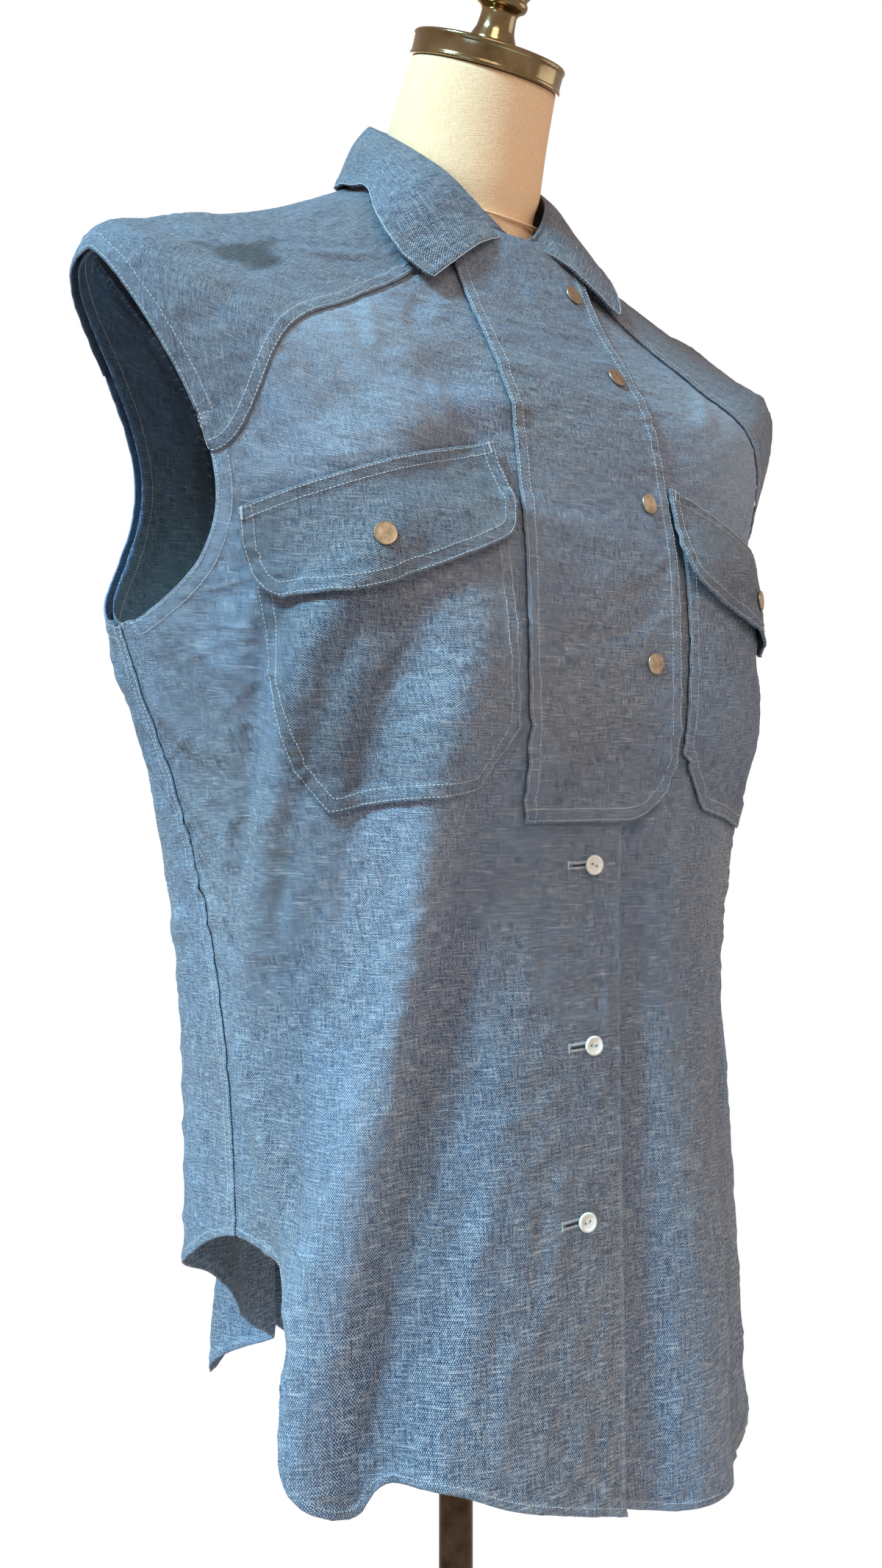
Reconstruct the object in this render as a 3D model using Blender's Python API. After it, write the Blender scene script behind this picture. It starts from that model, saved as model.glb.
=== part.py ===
"""A sleeveless collared work shirt, buttoned, on a limbless dress form with a pole and a round base.

Metres, +Z up. The shirt's front faces -Y and the wearer's left is +X. The origin is on the floor, on the
axis of the pole.

The cloth follows one closed form. Its points have two coordinates: u goes round the body (0 centre front,
0.5 the wearer's left side, 1 centre back, 1.5 or -0.5 the wearer's right side) and s climbs from the hem
(0) to the neckline (9) through the rings of a table. Every panel is a patch of that form, and what lies on
a panel is made from the same points, moved out.
"""

import math

import bmesh
import bpy
from mathutils import Matrix, Vector

# ---------------------------------------------------------------- driving dimensions

CLOTH = 0.0015  # wall of one layer of cloth
SEAM_GAP = 0.0004  # between two panels that meet at a seam
LIFT = 0.0015  # between a panel and what lies on it
HARD_GAP = 0.0003  # between hard pieces that meet

RING_COLUMNS = (
    "z_front", "z_side", "z_back", "half_width", "x_middle", "y_side", "y_front", "y_back", "square", "fall",
)
RINGS = (
    (0.690, 0.690, 0.690, 0.178, 0.012, 0.000, -0.140, 0.130, 3.0, 1.5),  # 0 lowest hem
    (0.860, 0.860, 0.860, 0.173, 0.009, 0.000, -0.134, 0.130, 2.9, 1.5),  # 1 hip
    (1.000, 1.000, 1.000, 0.178, 0.005, 0.002, -0.127, 0.122, 2.7, 1.5),  # 2 waist
    (1.105, 1.110, 1.115, 0.199, 0.002, 0.006, -0.126, 0.108, 2.5, 1.5),  # 3 under the bust
    (1.190, 1.207, 1.215, 0.228, 0.000, 0.014, -0.129, 0.110, 2.3, 1.5),  # 4 underarm
    (1.265, 1.290, 1.310, 0.240, -0.002, 0.004, -0.125, 0.112, 2.2, 1.4),  # 5 middle of the armhole
    (1.330, 1.390, 1.395, 0.265, -0.004, -0.029, -0.112, 0.100, 2.1, 1.3),  # 6 tip of the shoulder
    (1.368, 1.417, 1.435, 0.227, -0.003, -0.024, -0.094, 0.092, 2.1, 1.3),  # 7 outer shoulder
    (1.402, 1.438, 1.470, 0.165, 0.000, -0.016, -0.075, 0.082, 2.1, 1.3),  # 8 middle of the shoulder
    (1.452, 1.480, 1.512, 0.068, 0.000, 0.000, -0.056, 0.062, 2.0, 1.2),  # 9 neckline
)
NECKLINE = len(RINGS) - 1.0
UNDERARM = 4.0

# Each fold runs along a line from (u_high, s_high) down to (u_low, s_low), is width wide to each side of it
# and stands out by height_high at the top and height_low at the bottom. A negative height is a trough.
FOLD_COLUMNS = ("u_high", "s_high", "u_low", "s_low", "width", "height_high", "height_low")
FOLDS = (
    (-0.150, 5.4, -0.170, 2.9, 0.085, 0.010, 0.012),  # right bust
    (0.170, 5.4, 0.190, 2.9, 0.085, 0.011, 0.012),  # left bust
    (-0.150, 4.8, -0.480, 1.6, 0.032, 0.008, 0.006),  # right front, bust to side seam
    (-0.150, 3.4, -0.345, -1.0, 0.034, 0.006, 0.013),  # right front, bust to tail
    (-0.240, 3.2, -0.420, 0.9, 0.040, -0.007, -0.009),  # hollow between those two
    (-0.110, 2.8, -0.235, -1.0, 0.036, -0.004, -0.012),  # hollow beside the tail fold
    (-0.060, 2.0, -0.120, -1.0, 0.030, 0.002, 0.006),  # right front, beside the buttons
    (0.120, 3.4, 0.115, -1.0, 0.040, 0.004, 0.010),  # left front, bust to hem
    (0.240, 3.0, 0.220, -0.8, 0.036, -0.005, -0.010),  # hollow beside it
    (0.200, 4.2, 0.420, 1.2, 0.034, 0.007, 0.006),  # left front, bust to side seam
    (0.340, 2.4, 0.330, -0.8, 0.034, 0.004, 0.009),  # left tail
    (0.640, 3.4, 0.660, -1.0, 0.045, 0.003, 0.014),  # left back
    (0.780, 3.6, 0.770, -1.0, 0.034, -0.004, -0.014),  # hollow in the left back
    (0.900, 3.8, 0.890, -1.2, 0.040, 0.003, 0.016),  # back, left of the middle
    (1.030, 3.2, 1.020, -1.0, 0.036, -0.002, -0.010),  # hollow at the middle of the back
    (1.125, 3.4, 1.130, -1.4, 0.032, 0.002, 0.060),  # deep flute in the right of the back tail
    (1.215, 3.0, 1.220, -1.4, 0.034, -0.002, -0.018),  # hollow beside the flute
    (1.370, 4.0, 1.360, -0.8, 0.055, 0.002, 0.004),  # right back
)


def smooth(t):
    t = min(max(t, 0.0), 1.0)
    return t * t * (3.0 - 2.0 * t)


def bump(t):
    """1 at t = 0, falling to 0 at -1 and 1."""
    return (1.0 - t * t) ** 2 if abs(t) < 1.0 else 0.0


def ring_at(s):
    """The columns of the ring at s, on a smooth curve through the table."""
    s = min(max(s, 0.0), NECKLINE)
    low = min(int(s), len(RINGS) - 2)
    t = s - low
    before, here, after, beyond = (RINGS[min(max(low + k, 0), len(RINGS) - 1)] for k in (-1, 0, 1, 2))
    values = {}
    for name, a, b, c, d in zip(RING_COLUMNS, before, here, after, beyond):
        values[name] = b + 0.5 * t * (c - a + t * (2 * a - 5 * b + 4 * c - d + t * (3 * (b - c) + d - a)))
    return values


def bare(u, s):
    """A point of the form before its folds."""
    r = ring_at(s)
    sine, cosine = math.sin(math.pi * u), math.cos(math.pi * u)
    swell = (abs(sine) ** r["square"] + abs(cosine) ** r["square"]) ** (-1.0 / r["square"])
    along = abs(cosine) * swell
    end = "front" if cosine > 0 else "back"
    y = r["y_side"] + (r["y_" + end] - r["y_side"]) * along
    z = r["z_side"] + (r["z_" + end] - r["z_side"]) * along ** r["fall"]
    return Vector((r["x_middle"] + r["half_width"] * sine * swell, y, z))


def half_girth(s):
    """The length round the form for one unit of u."""
    r = ring_at(s)
    depth = (r["y_back"] - r["y_front"]) / 2
    return math.pi * math.sqrt((r["half_width"] ** 2 + depth**2) / 2)


def fold_height(u, s):
    """How far the folds stand out of the form at (u, s)."""
    total = 0.0
    girth = half_girth(s)
    for row in FOLDS:
        fold = dict(zip(FOLD_COLUMNS, row))
        t = (s - fold["s_low"]) / (fold["s_high"] - fold["s_low"])
        if not 0.0 < t < 1.0:
            continue
        line = fold["u_low"] + (fold["u_high"] - fold["u_low"]) * t
        aside = ((u - line + 1.0) % 2.0 - 1.0) * girth / fold["width"]
        height = fold["height_low"] + (fold["height_high"] - fold["height_low"]) * t
        total += height * smooth(t / 0.3) * smooth((1.0 - t) / 0.3) * bump(aside)
    return total


STEP_U, STEP_S = 0.004, 0.02


def out_of(surface, u, s):
    """The outward direction of a surface at (u, s)."""
    s = min(s, NECKLINE - STEP_S)
    round_the_body = surface(u + STEP_U, s) - surface(u - STEP_U, s)
    upward = surface(u, s + STEP_S) - surface(u, max(s - STEP_S, 0.0))
    return round_the_body.cross(upward).normalized()


def folded(u, s):
    return bare(u, s) + out_of(bare, u, s) * fold_height(u, s)


def skin(u, s, out=0.0):
    """A point at a distance out of the folded form."""
    return folded(u, s) + out_of(folded, u, s) * out


def u_at(x, s):
    """The u of the point of ring s at x on the front."""
    low, high = -0.5, 0.5
    for _ in range(30):
        middle = (low + high) / 2
        if bare(middle, s).x < x:
            low = middle
        else:
            high = middle
    return (low + high) / 2


# ---------------------------------------------------------------- outlines, in (u, s)

ARMHOLE_MIDDLE, ARMHOLE_HALF_HEIGHT = 5.0, 1.0
ARMHOLE_FRONT, ARMHOLE_BACK = 0.165, 0.235  # half widths in u
YOKE_FRONT_TURN, YOKE_BACK_TURN = 0.266, 0.66  # where the yoke's seams meet the armhole
SEAM_POWER = 1.2
YOKE_NECK_U = 0.170  # where the yoke's front seam meets the neckline
YOKE_BACK_DIP = 0.55  # how much higher the back seam is at the middle of the back
VENT_S = 1.03  # hem at the side seams
FRONT_TAIL = (  # u and s of the front hem; it falls towards the wearer's left
    (-0.40, 0.26), (-0.33, 0.30), (-0.25, 0.43), (-0.18, 0.37), (-0.10, 0.29), (0.0, 0.16), (0.10, 0.06),
    (0.20, 0.00), (0.30, 0.04), (0.40, 0.12),
)
BACK_TAIL = 0.25  # back tail at the middle
PLACKET_HIGH, PLACKET_LOW = 0.020, 0.008  # x of the right front's free edge at the chest and at the hem
UNDERLAP = -0.022  # x of the left front's edge, under the right front
STEP_START, STEP_WIDTH = 0.052, 0.022  # x where the left front starts to step in, and over what width

SIDE_ROWS, ARM_ROWS = 15, 8  # rows of a body panel below and beside the armhole
SEAM_ROWS = 8  # rows of a front along the yoke's seam
FRONT_ACROSS = (0.0, 0.08, 0.16, 0.20, 0.24, 0.29, 0.39, 0.52, 0.66, 0.80, 0.91, 1.0)  # columns of a front
SEAM_TOP = 0.89  # where along the front yoke seam the yoke's short end begins
BACK_U = (
    0.5, 0.56, 0.62, 0.68, 0.74, 0.80, 0.86, 0.91, 0.96, 1.01, 1.05, 1.08, 1.105, 1.13, 1.155, 1.18, 1.22,
    1.27, 1.34, 1.42, 1.5,
)  # columns of the back, closer together at the deep flute
ARM_TOP_COLUMNS = 6
YOKE_CLIMB = (0.0, 0.10, 0.23, 0.42, 0.68, 1.0)  # rows of the yoke, closer together at the armhole
SEAM_U = SEAM_GAP / 2 / 0.5  # half of a gap as a part of u, where one unit of u is about 0.5 m
SEAM_S = SEAM_GAP / 2 / 0.06  # and of s, where one unit is about 0.06 m


def steps(count):
    return [k / count for k in range(count + 1)]


def blend(a, b, t):
    return a + (b - a) * t


def armhole(side, turn, size=1.0):
    """A point of the armhole's edge; turn 0 is the underarm, 0.25 the front, 0.5 the shoulder's tip."""
    sine, cosine = math.sin(2 * math.pi * turn), math.cos(2 * math.pi * turn)
    width = ARMHOLE_FRONT if sine > 0 else ARMHOLE_BACK
    return side * (0.5 - size * width * sine), ARMHOLE_MIDDLE - size * ARMHOLE_HALF_HEIGHT * cosine


def front_yoke_seam(side, t):
    """From the armhole (t = 0) up to the neckline (t = 1), a little flatter than a quarter of an ellipse."""
    u_arm, s_arm = armhole(side, YOKE_FRONT_TURN)
    across, up = (part(math.pi / 2 * t) ** SEAM_POWER for part in (math.sin, math.cos))
    return blend(u_arm, side * YOKE_NECK_U, across), blend(s_arm, NECKLINE, 1 - up)


def yoke_end(side):
    """The yoke's short end, from its front seam up to the neckline."""
    u, s = front_yoke_seam(side, SEAM_TOP)
    return [(blend(u, side * YOKE_NECK_U, t), blend(s, NECKLINE, t)) for t in YOKE_CLIMB]


def back_yoke_seam(t):
    """From the left armhole (t = 0) across the back to the right one (t = 1)."""
    u_left, s_arm = armhole(1, YOKE_BACK_TURN)
    u_right = 2 + armhole(-1, YOKE_BACK_TURN)[0]
    return blend(u_left, u_right, t), s_arm + YOKE_BACK_DIP * math.sin(math.pi * t) ** 1.5


def front_hem(u):
    """The s of the hem: the tail, with a shirt-tail curve up to the side seam."""
    tail = FRONT_TAIL[0][1] if u < 0 else FRONT_TAIL[-1][1]
    for (u_low, s_low), (u_high, s_high) in zip(FRONT_TAIL, FRONT_TAIL[1:]):
        if u_low <= u < u_high:
            tail = blend(s_low, s_high, smooth((u - u_low) / (u_high - u_low)))
    return blend(tail, VENT_S, smooth((abs(u) - 0.357) / 0.062))


def back_hem(u):
    """u runs from 0.5 to 1.5."""
    aside = max(0.0, abs(u - 1.0) - 0.03) / 0.47
    return blend(BACK_TAIL, VENT_S, aside * aside / (aside + 0.06) * 1.06)


def placket_x(s):
    return blend(PLACKET_LOW, PLACKET_HIGH, min(s / 3.0, 1.0))


def patch(bottom, top, left, right, climb=None, across=None):
    """A grid of (u, s) between four edges, each a list of points; rows run from bottom to top.

    climb lists how far up each row lies, and across how far along each column, where they aren't even.
    """
    columns, rows = len(bottom) - 1, len(left) - 1
    grid = []
    for j in range(rows + 1):
        q = climb[j] if climb else j / rows
        row = []
        for i in range(columns + 1):
            p = across[i] if across else i / columns
            row.append(tuple(
                (1 - q) * bottom[i][k] + q * top[i][k] + (1 - p) * left[j][k] + p * right[j][k]
                - (1 - p) * (1 - q) * bottom[0][k] - p * (1 - q) * bottom[-1][k]
                - (1 - p) * q * top[0][k] - p * q * top[-1][k]
                for k in (0, 1)
            ))
        grid.append(row)
    return grid


# ---------------------------------------------------------------- meshes

def material(name, colour, roughness, metallic=0.0):
    made = bpy.data.materials.get(name) or bpy.data.materials.new(name)
    made.use_nodes = True
    shader = made.node_tree.nodes["Principled BSDF"]
    shader.inputs["Base Color"].default_value = (*colour, 1.0)
    shader.inputs["Roughness"].default_value = roughness
    shader.inputs["Metallic"].default_value = metallic
    made.diffuse_color = (*colour, 1.0)
    return made


def chambray():
    return material("chambray", (0.16, 0.27, 0.43), 0.85)


def canvas():
    return material("canvas", (0.78, 0.68, 0.52), 0.9)


def brass():
    return material("antique_brass", (0.30, 0.24, 0.13), 0.35, 1.0)


def snap_metal():
    return material("snap_brass", (0.42, 0.32, 0.20), 0.4, 1.0)


def bronze():
    return material("bronze_steel", (0.16, 0.10, 0.07), 0.35, 1.0)


def shell_button():
    return material("ivory_plastic", (0.82, 0.77, 0.68), 0.35)


def add(name, mesh, finish):
    made = bpy.data.objects.new(name, mesh)
    bpy.context.scene.collection.objects.link(made)
    mesh.materials.append(finish)
    return made


def smooth_shaded(mesh, angle=40):
    mesh.shade_smooth()
    mesh.set_sharp_from_angle(angle=math.radians(angle))


def wall(name, outer, inner, finish, ring=False):
    """A closed wall between two grids of points; a ring's columns join up."""
    bm = bmesh.new()
    rows, columns = len(outer), len(outer[0])
    sides = [[[bm.verts.new(point) for point in row] for row in grid] for grid in (outer, inner)]
    spans = range(columns if ring else columns - 1)

    def face(*corners):
        for k in range(1, len(corners) - 1):
            bm.faces.new((corners[0], corners[k], corners[k + 1]))

    for j in range(rows - 1):
        for i in spans:
            n = (i + 1) % columns
            for side in sides:
                face(side[j][i], side[j][n], side[j + 1][n], side[j + 1][i])
    for i in spans:
        n = (i + 1) % columns
        for j in (0, rows - 1):
            face(sides[0][j][i], sides[0][j][n], sides[1][j][n], sides[1][j][i])
    if not ring:
        for j in range(rows - 1):
            for i in (0, columns - 1):
                face(sides[0][j][i], sides[0][j + 1][i], sides[1][j + 1][i], sides[1][j][i])
    bmesh.ops.recalc_face_normals(bm, faces=bm.faces)
    mesh = bpy.data.meshes.new(name)
    bm.to_mesh(mesh)
    bm.free()
    smooth_shaded(mesh, 60)
    return add(name, mesh, finish)


def cloth(name, grid, out=lambda u, s: 0.0, ring=False):
    """A panel: the wall under the form's points, each moved out by out(u, s)."""
    outer = [[skin(u, s, out(u, s)) for u, s in row] for row in grid]
    inner = [[skin(u, s, out(u, s) - CLOTH) for u, s in row] for row in grid]
    return wall(name, outer, inner, chambray(), ring)


def turned(name, profile, finish, place=Matrix(), segments=48):
    """A solid of revolution about Z from (radius, height) points, bottom to top, both ends on the axis."""
    bm = bmesh.new()
    loops = []
    for radius, height in profile[1:-1]:
        loop = []
        for k in range(segments):
            angle = 2 * math.pi * k / segments
            loop.append(bm.verts.new((radius * math.cos(angle), radius * math.sin(angle), height)))
        loops.append(loop)
    ends = [bm.verts.new((0, 0, profile[0][1])), bm.verts.new((0, 0, profile[-1][1]))]
    for k in range(segments):
        n = (k + 1) % segments
        for low, high in zip(loops, loops[1:]):
            bm.faces.new((low[k], low[n], high[n], high[k]))
        bm.faces.new((ends[0], loops[0][n], loops[0][k]))
        bm.faces.new((ends[1], loops[-1][k], loops[-1][n]))
    bmesh.ops.recalc_face_normals(bm, faces=bm.faces)
    mesh = bpy.data.meshes.new(name)
    bm.to_mesh(mesh)
    bm.free()
    smooth_shaded(mesh)
    made = add(name, mesh, finish)
    made.matrix_world = place
    return made


# ---------------------------------------------------------------- body panels

def body_edge(side, turn_end, gap):
    """Up the side seam from the hem and on along the armhole to a yoke seam; gap is added to u."""
    seam = [(side * 0.5 + gap, blend(VENT_S, UNDERARM, t)) for t in steps(SIDE_ROWS)]
    start = 0.0 if turn_end < 0.5 else 1.0
    edge = [armhole(side, blend(start, turn_end, t)) for t in steps(ARM_ROWS)[1:]]
    return seam + edge


def front(name, side, edge_x, out):
    """One front: side -1 is the wearer's right. Its outer edge climbs the side seam, armhole and yoke."""
    outer = body_edge(side, YOKE_FRONT_TURN, -side * SEAM_U)
    seam = [front_yoke_seam(side, SEAM_TOP * t) for t in steps(SEAM_ROWS)]
    outer[-1:] = [(u - side * SEAM_U, s - SEAM_S) for u, s in seam]
    outer += [(u - side * SEAM_U, s) for u, s in yoke_end(side)[1:]]
    low = front_hem(u_at(edge_x(0.1), 0.1))
    middle = [blend(low, UNDERARM, t) for t in steps(SIDE_ROWS)]
    middle += [blend(UNDERARM, seam[0][1], t) for t in steps(ARM_ROWS)[1:]]
    middle += [s for u, s in outer[len(middle):]]
    inner = [(u_at(edge_x(s), s), s) for s in middle]
    top = [(blend(outer[-1][0], inner[-1][0], t), NECKLINE) for t in FRONT_ACROSS]
    hem = [blend(outer[0][0], inner[0][0], t) for t in FRONT_ACROSS]
    bottom = [(u, front_hem(u)) for u in hem]
    outer[0], inner[0] = bottom[0], bottom[-1]
    return cloth(name, patch(bottom, top, outer, inner, across=FRONT_ACROSS), out)


def tucked_under(u, s):
    """The left front steps in under the right one."""
    return -(CLOTH + LIFT) * smooth((STEP_START - bare(u, s).x) / STEP_WIDTH)


def fronts():
    front("front_right", -1, placket_x, lambda u, s: 0.0)
    front("front_left", 1, lambda s: UNDERLAP, tucked_under)


def back():
    left = body_edge(1, YOKE_BACK_TURN, SEAM_U)
    right = [(2 + u, s) for u, s in body_edge(-1, YOKE_BACK_TURN, -SEAM_U)]
    top = [(u, s - SEAM_S) for u, s in (back_yoke_seam(u - 0.5) for u in BACK_U)]
    left[-1], right[-1] = top[0], top[-1]
    bottom = [(blend(left[0][0], right[0][0], u - 0.5), back_hem(u)) for u in BACK_U]
    cloth("back", patch(bottom, top, left, right))


def yoke():
    down = [front_yoke_seam(1, SEAM_TOP * (1 - t)) for t in steps(SEAM_ROWS)]
    down = [(u + SEAM_U, s + SEAM_S) for u, s in down]
    over = [armhole(1, blend(YOKE_FRONT_TURN, YOKE_BACK_TURN, t)) for t in steps(ARM_TOP_COLUMNS)][1:-1]
    across = [(u, s + SEAM_S) for u, s in (back_yoke_seam(u - 0.5) for u in BACK_U)]
    bottom = down + over + across + [(2 - u, s) for u, s in reversed(down + over)]
    start = YOKE_NECK_U + SEAM_U
    top = [(blend(start, 2 - start, t), NECKLINE) for t in steps(len(bottom) - 1)]
    left = [(u + SEAM_U, s) for u, s in yoke_end(1)]
    left[0] = bottom[0]
    right = [(2 - u, s) for u, s in left]
    cloth("yoke", patch(bottom, top, left, right, YOKE_CLIMB))


# ---------------------------------------------------------------- pieces on the panels

OVERLAY_RIGHT_X, OVERLAY_LEFT_X = -0.058, 0.063  # the overlay's sewn and free edges
OVERLAY_TOP_X = 0.050  # its free edge at the neckline
OVERLAY_BOTTOM, OVERLAY_TOP = 2.93, 8.92
OVERLAY_NECK_X = -0.032  # its sewn edge at the neckline
OVERLAY_CORNER = 0.036  # radius of its free lower corner
FLAP_OUTER, FLAP_INNER = 0.322, 0.086  # u of a flap's sides
FLAP_LOW, FLAP_TILT = 4.78, 0.80  # s of a flap's top at its outer end, and how much higher its inner end is
POCKET_OUTER, POCKET_INNER = 0.305, 0.096  # u of a pocket's sides
POCKET_LIFT = 0.0024  # between a front and its pocket
LEFT_DROP = 0.13  # how much lower, in s, the left pocket hangs


def over_the_front(u, s):
    """The outer face of the overlay; it's a little further out where it crosses the yoke's ends."""
    return LIFT + CLOTH + 0.0006 * smooth(s - 7.5)


def overlay():
    """A bib panel from the neckline to under the bust, with one round corner."""
    def free_x(s):
        return blend(OVERLAY_LEFT_X, OVERLAY_TOP_X, smooth((s - 5.5) / 3.5))

    def sewn_x(s):
        return blend(OVERLAY_RIGHT_X, OVERLAY_NECK_X, smooth((s - 8.1) / 0.9))

    rows, columns = 15, 6
    corner = [(math.sin(a), math.cos(a)) for a in (math.radians(d) for d in (0, 22, 45, 68, 90))]
    per_metre = 1 / 0.090  # s per metre of height there
    low = OVERLAY_BOTTOM
    corner_x = OVERLAY_LEFT_X - OVERLAY_CORNER
    xs = [blend(OVERLAY_RIGHT_X, corner_x, t) for t in steps(columns - 2)]
    round_part = [
        (OVERLAY_LEFT_X - OVERLAY_CORNER * (1 - sine), low + OVERLAY_CORNER * (1 - cosine) * per_metre)
        for sine, cosine in corner
    ]
    bottom = [(u_at(x, low), low) for x in xs] + [(u_at(x, s), s) for x, s in round_part[1:3]]
    above = [(u_at(x, s), s) for x, s in round_part[2:]]
    start = round_part[-1][1]
    climb = [blend(start, OVERLAY_TOP, t) for t in steps(rows - 2)[1:]]
    right = above + [(u_at(free_x(s), s), s) for s in climb]
    left = [(u_at(sewn_x(s), s), s) for s in (blend(low, OVERLAY_TOP, t) for t in steps(rows))]
    top = [(blend(left[-1][0], right[-1][0], t), OVERLAY_TOP) for t in steps(columns)]
    cloth("front_overlay", patch(bottom, top, left, right), over_the_front)


def pocket_patch(side, drop):
    """A patch pocket with two clipped lower corners, in (u, s)."""
    bottom = [
        (POCKET_OUTER, 3.20), (0.278, 2.97), (0.245, 3.01), (0.212, 3.05), (0.179, 3.08), (0.146, 3.12),
        (0.100, 3.50),
    ]
    left = [(POCKET_OUTER, blend(3.20, 4.60, t)) for t in steps(8)]
    right = [(POCKET_INNER + 0.004 * (1 - t), blend(3.50, 5.05, t)) for t in steps(8)]
    top = [(blend(POCKET_OUTER, POCKET_INNER, t), blend(4.60, 5.05, t)) for t in steps(6)]
    left[0], right[0] = bottom[0], bottom[-1]
    grid = patch(bottom, top, left, right)
    return [[(side * u, s - drop) for u, s in row] for row in grid]


def flap_patch(side, drop):
    """A flap with two round lower corners; its inner end is the higher one."""
    top = [(blend(FLAP_OUTER, FLAP_INNER, t), blend(FLAP_LOW, FLAP_LOW + FLAP_TILT, t)) for t in steps(8)]
    hang = (0.25, 0.63, 0.74, 0.77, 0.77, 0.76, 0.75, 0.72, 0.45)
    bottom = [(u - 0.004 * (1 - abs(2 * t - 1)), s - h) for (u, s), h, t in zip(top, hang, steps(8))]
    left = [(blend(bottom[0][0], top[0][0], t), blend(bottom[0][1], top[0][1], t)) for t in steps(3)]
    right = [(blend(bottom[-1][0], top[-1][0], t), blend(bottom[-1][1], top[-1][1], t)) for t in steps(3)]
    grid = patch(bottom, top, left, right)
    return [[(side * u, s - drop) for u, s in row] for row in grid]


ON_FRONT = CLOTH + POCKET_LIFT  # outer face of a pocket
ON_POCKET = ON_FRONT + CLOTH + LIFT  # outer face of a flap over the pocket under it


def pockets():
    for name, side, drop in (("right", -1, 0.0), ("left", 1, LEFT_DROP)):
        cloth("pocket_" + name, pocket_patch(side, drop), lambda u, s: ON_FRONT)
        cloth("pocket_flap_" + name, flap_patch(side, drop), lambda u, s: ON_POCKET)


FACING_WIDTH = 1.42  # outer edge of a facing, as a multiple of the armhole
FACING_EDGE_GAP, FACING_TIP_GAP, FACING_GAP = 0.0024, 0.0007, 0.0034  # between a facing and the panels
FACING_HANG = 0.0050  # how much further in that edge hangs


def facing_turns():
    """Where a facing's columns lie round the armhole: at the columns and rows of the panels above it."""
    turns = [YOKE_FRONT_TURN * t for t in steps(ARM_ROWS)[:-1]]
    turns += [blend(YOKE_FRONT_TURN, YOKE_BACK_TURN, t) for t in steps(ARM_TOP_COLUMNS)[:-1]]
    return turns + [blend(YOKE_BACK_TURN, 1.0, t) for t in steps(ARM_ROWS)[:-1]]


def facing_drop(turn, size):
    """How far a facing lies inside the panels: nearest at the shoulder's tip, furthest at its inner edge."""
    edge = blend(FACING_EDGE_GAP, FACING_TIP_GAP, bump((turn - 0.5) / 0.15))
    gap = blend(edge, FACING_GAP, min(1.0, (size - 1) / 0.06))
    return gap + FACING_HANG * (size - 1) / (FACING_WIDTH - 1)


def armhole_facings():
    """Bands sewn inside the armholes."""
    sizes = [blend(1.004, FACING_WIDTH, t) for t in (0.0, 0.25, 0.6, 1.0)]
    for name, side in (("right", -1), ("left", 1)):
        outer, inner = [], []
        for size in sizes:
            points = [(*armhole(side, turn, size), facing_drop(turn, size)) for turn in facing_turns()]
            outer.append([skin(u, s, -CLOTH - drop) for u, s, drop in points])
            inner.append([skin(u, s, -2 * CLOTH - drop) for u, s, drop in points])
        wall("armhole_facing_" + name, outer, inner, chambray(), ring=True)


# ---------------------------------------------------------------- collar

COLLAR_START = 0.055  # u of the collar's front ends on the neckline
COLLAR_TIP_U = 0.152
TIP_S = {"right": 7.85, "left": 8.22}  # the left leaf doesn't lie down
TIP_LIFT = {"right": 0.0062, "left": 0.0130}
COLLAR_BACK_S = 8.72  # outer edge over the shoulders and back
ROLL_RADIUS = 0.0555
ROLL_LOW, ROLL_RISE = 1.4555, 0.092
COLLAR_COLUMNS = 26


def collar_section(t):
    """The points of one section: seam, stand, roll, fall and outer edge; t goes left front, back, right."""
    back = 1 - abs(2 * t - 1)  # 0 at a front end, 1 at the middle of the back
    around = 2 * t - 1
    u = 1 + around * (1 - COLLAR_START)
    seam = bare(u, NECKLINE) + Vector((0, 0, 0.0007))
    sine, cosine = math.sin(math.pi * u), math.cos(math.pi * u)
    level = ROLL_LOW + ROLL_RISE * ((1 - cosine) / 2) ** 0.6
    outward = Vector((sine, -cosine, 0))
    roll = outward * ROLL_RADIUS + Vector((0, -0.002, level))
    u_edge = 1 + around * (1 - COLLAR_TIP_U)
    tip = max(0.0, (0.45 - back) / 0.45)
    leaf = "left" if t < 0.5 else "right"
    s_edge = COLLAR_BACK_S - (COLLAR_BACK_S - TIP_S[leaf]) * tip**2.2
    edge = skin(u_edge, s_edge, blend(0.0040, TIP_LIFT[leaf], min(1.0, 3 * tip)))
    stand = seam.lerp(roll, 0.5) - outward * 0.0006
    fall = roll.lerp(edge, 0.42) + Vector((0, 0, 0.0040)) + outward * 0.0020
    return seam, stand, roll, fall, edge


def spline(points, t):
    """A point of a smooth curve through points."""
    place = t * (len(points) - 1)
    low = min(int(place), len(points) - 2)
    k = place - low
    last = len(points) - 1
    a, b, c, d = (points[min(max(low + m, 0), last)] for m in (-1, 0, 1, 2))
    return b + (c - a + (a * 2 - b * 5 + c * 4 - d + ((b - c) * 3 + d - a) * k) * k) * (0.5 * k)


def collar():
    rows = (0.0, 0.22, 0.40, 0.5, 0.58, 0.70, 0.85, 1.0)
    sections = [collar_section(t) for t in steps(COLLAR_COLUMNS)]
    grid = [[spline(section, row) for section in sections] for row in rows]
    outer, inner = [], []
    for j, row in enumerate(grid):
        low, high = grid[max(j - 1, 0)], grid[min(j + 1, len(grid) - 1)]
        inner_row = []
        for i, point in enumerate(row):
            along = row[min(i + 1, len(row) - 1)] - row[max(i - 1, 0)]
            inner_row.append(point + along.cross(high[i] - low[i]).normalized() * CLOTH)
        outer.append(row)
        inner.append(inner_row)
    wall("collar", outer, inner, chambray())


# ---------------------------------------------------------------- snaps and buttons

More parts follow.
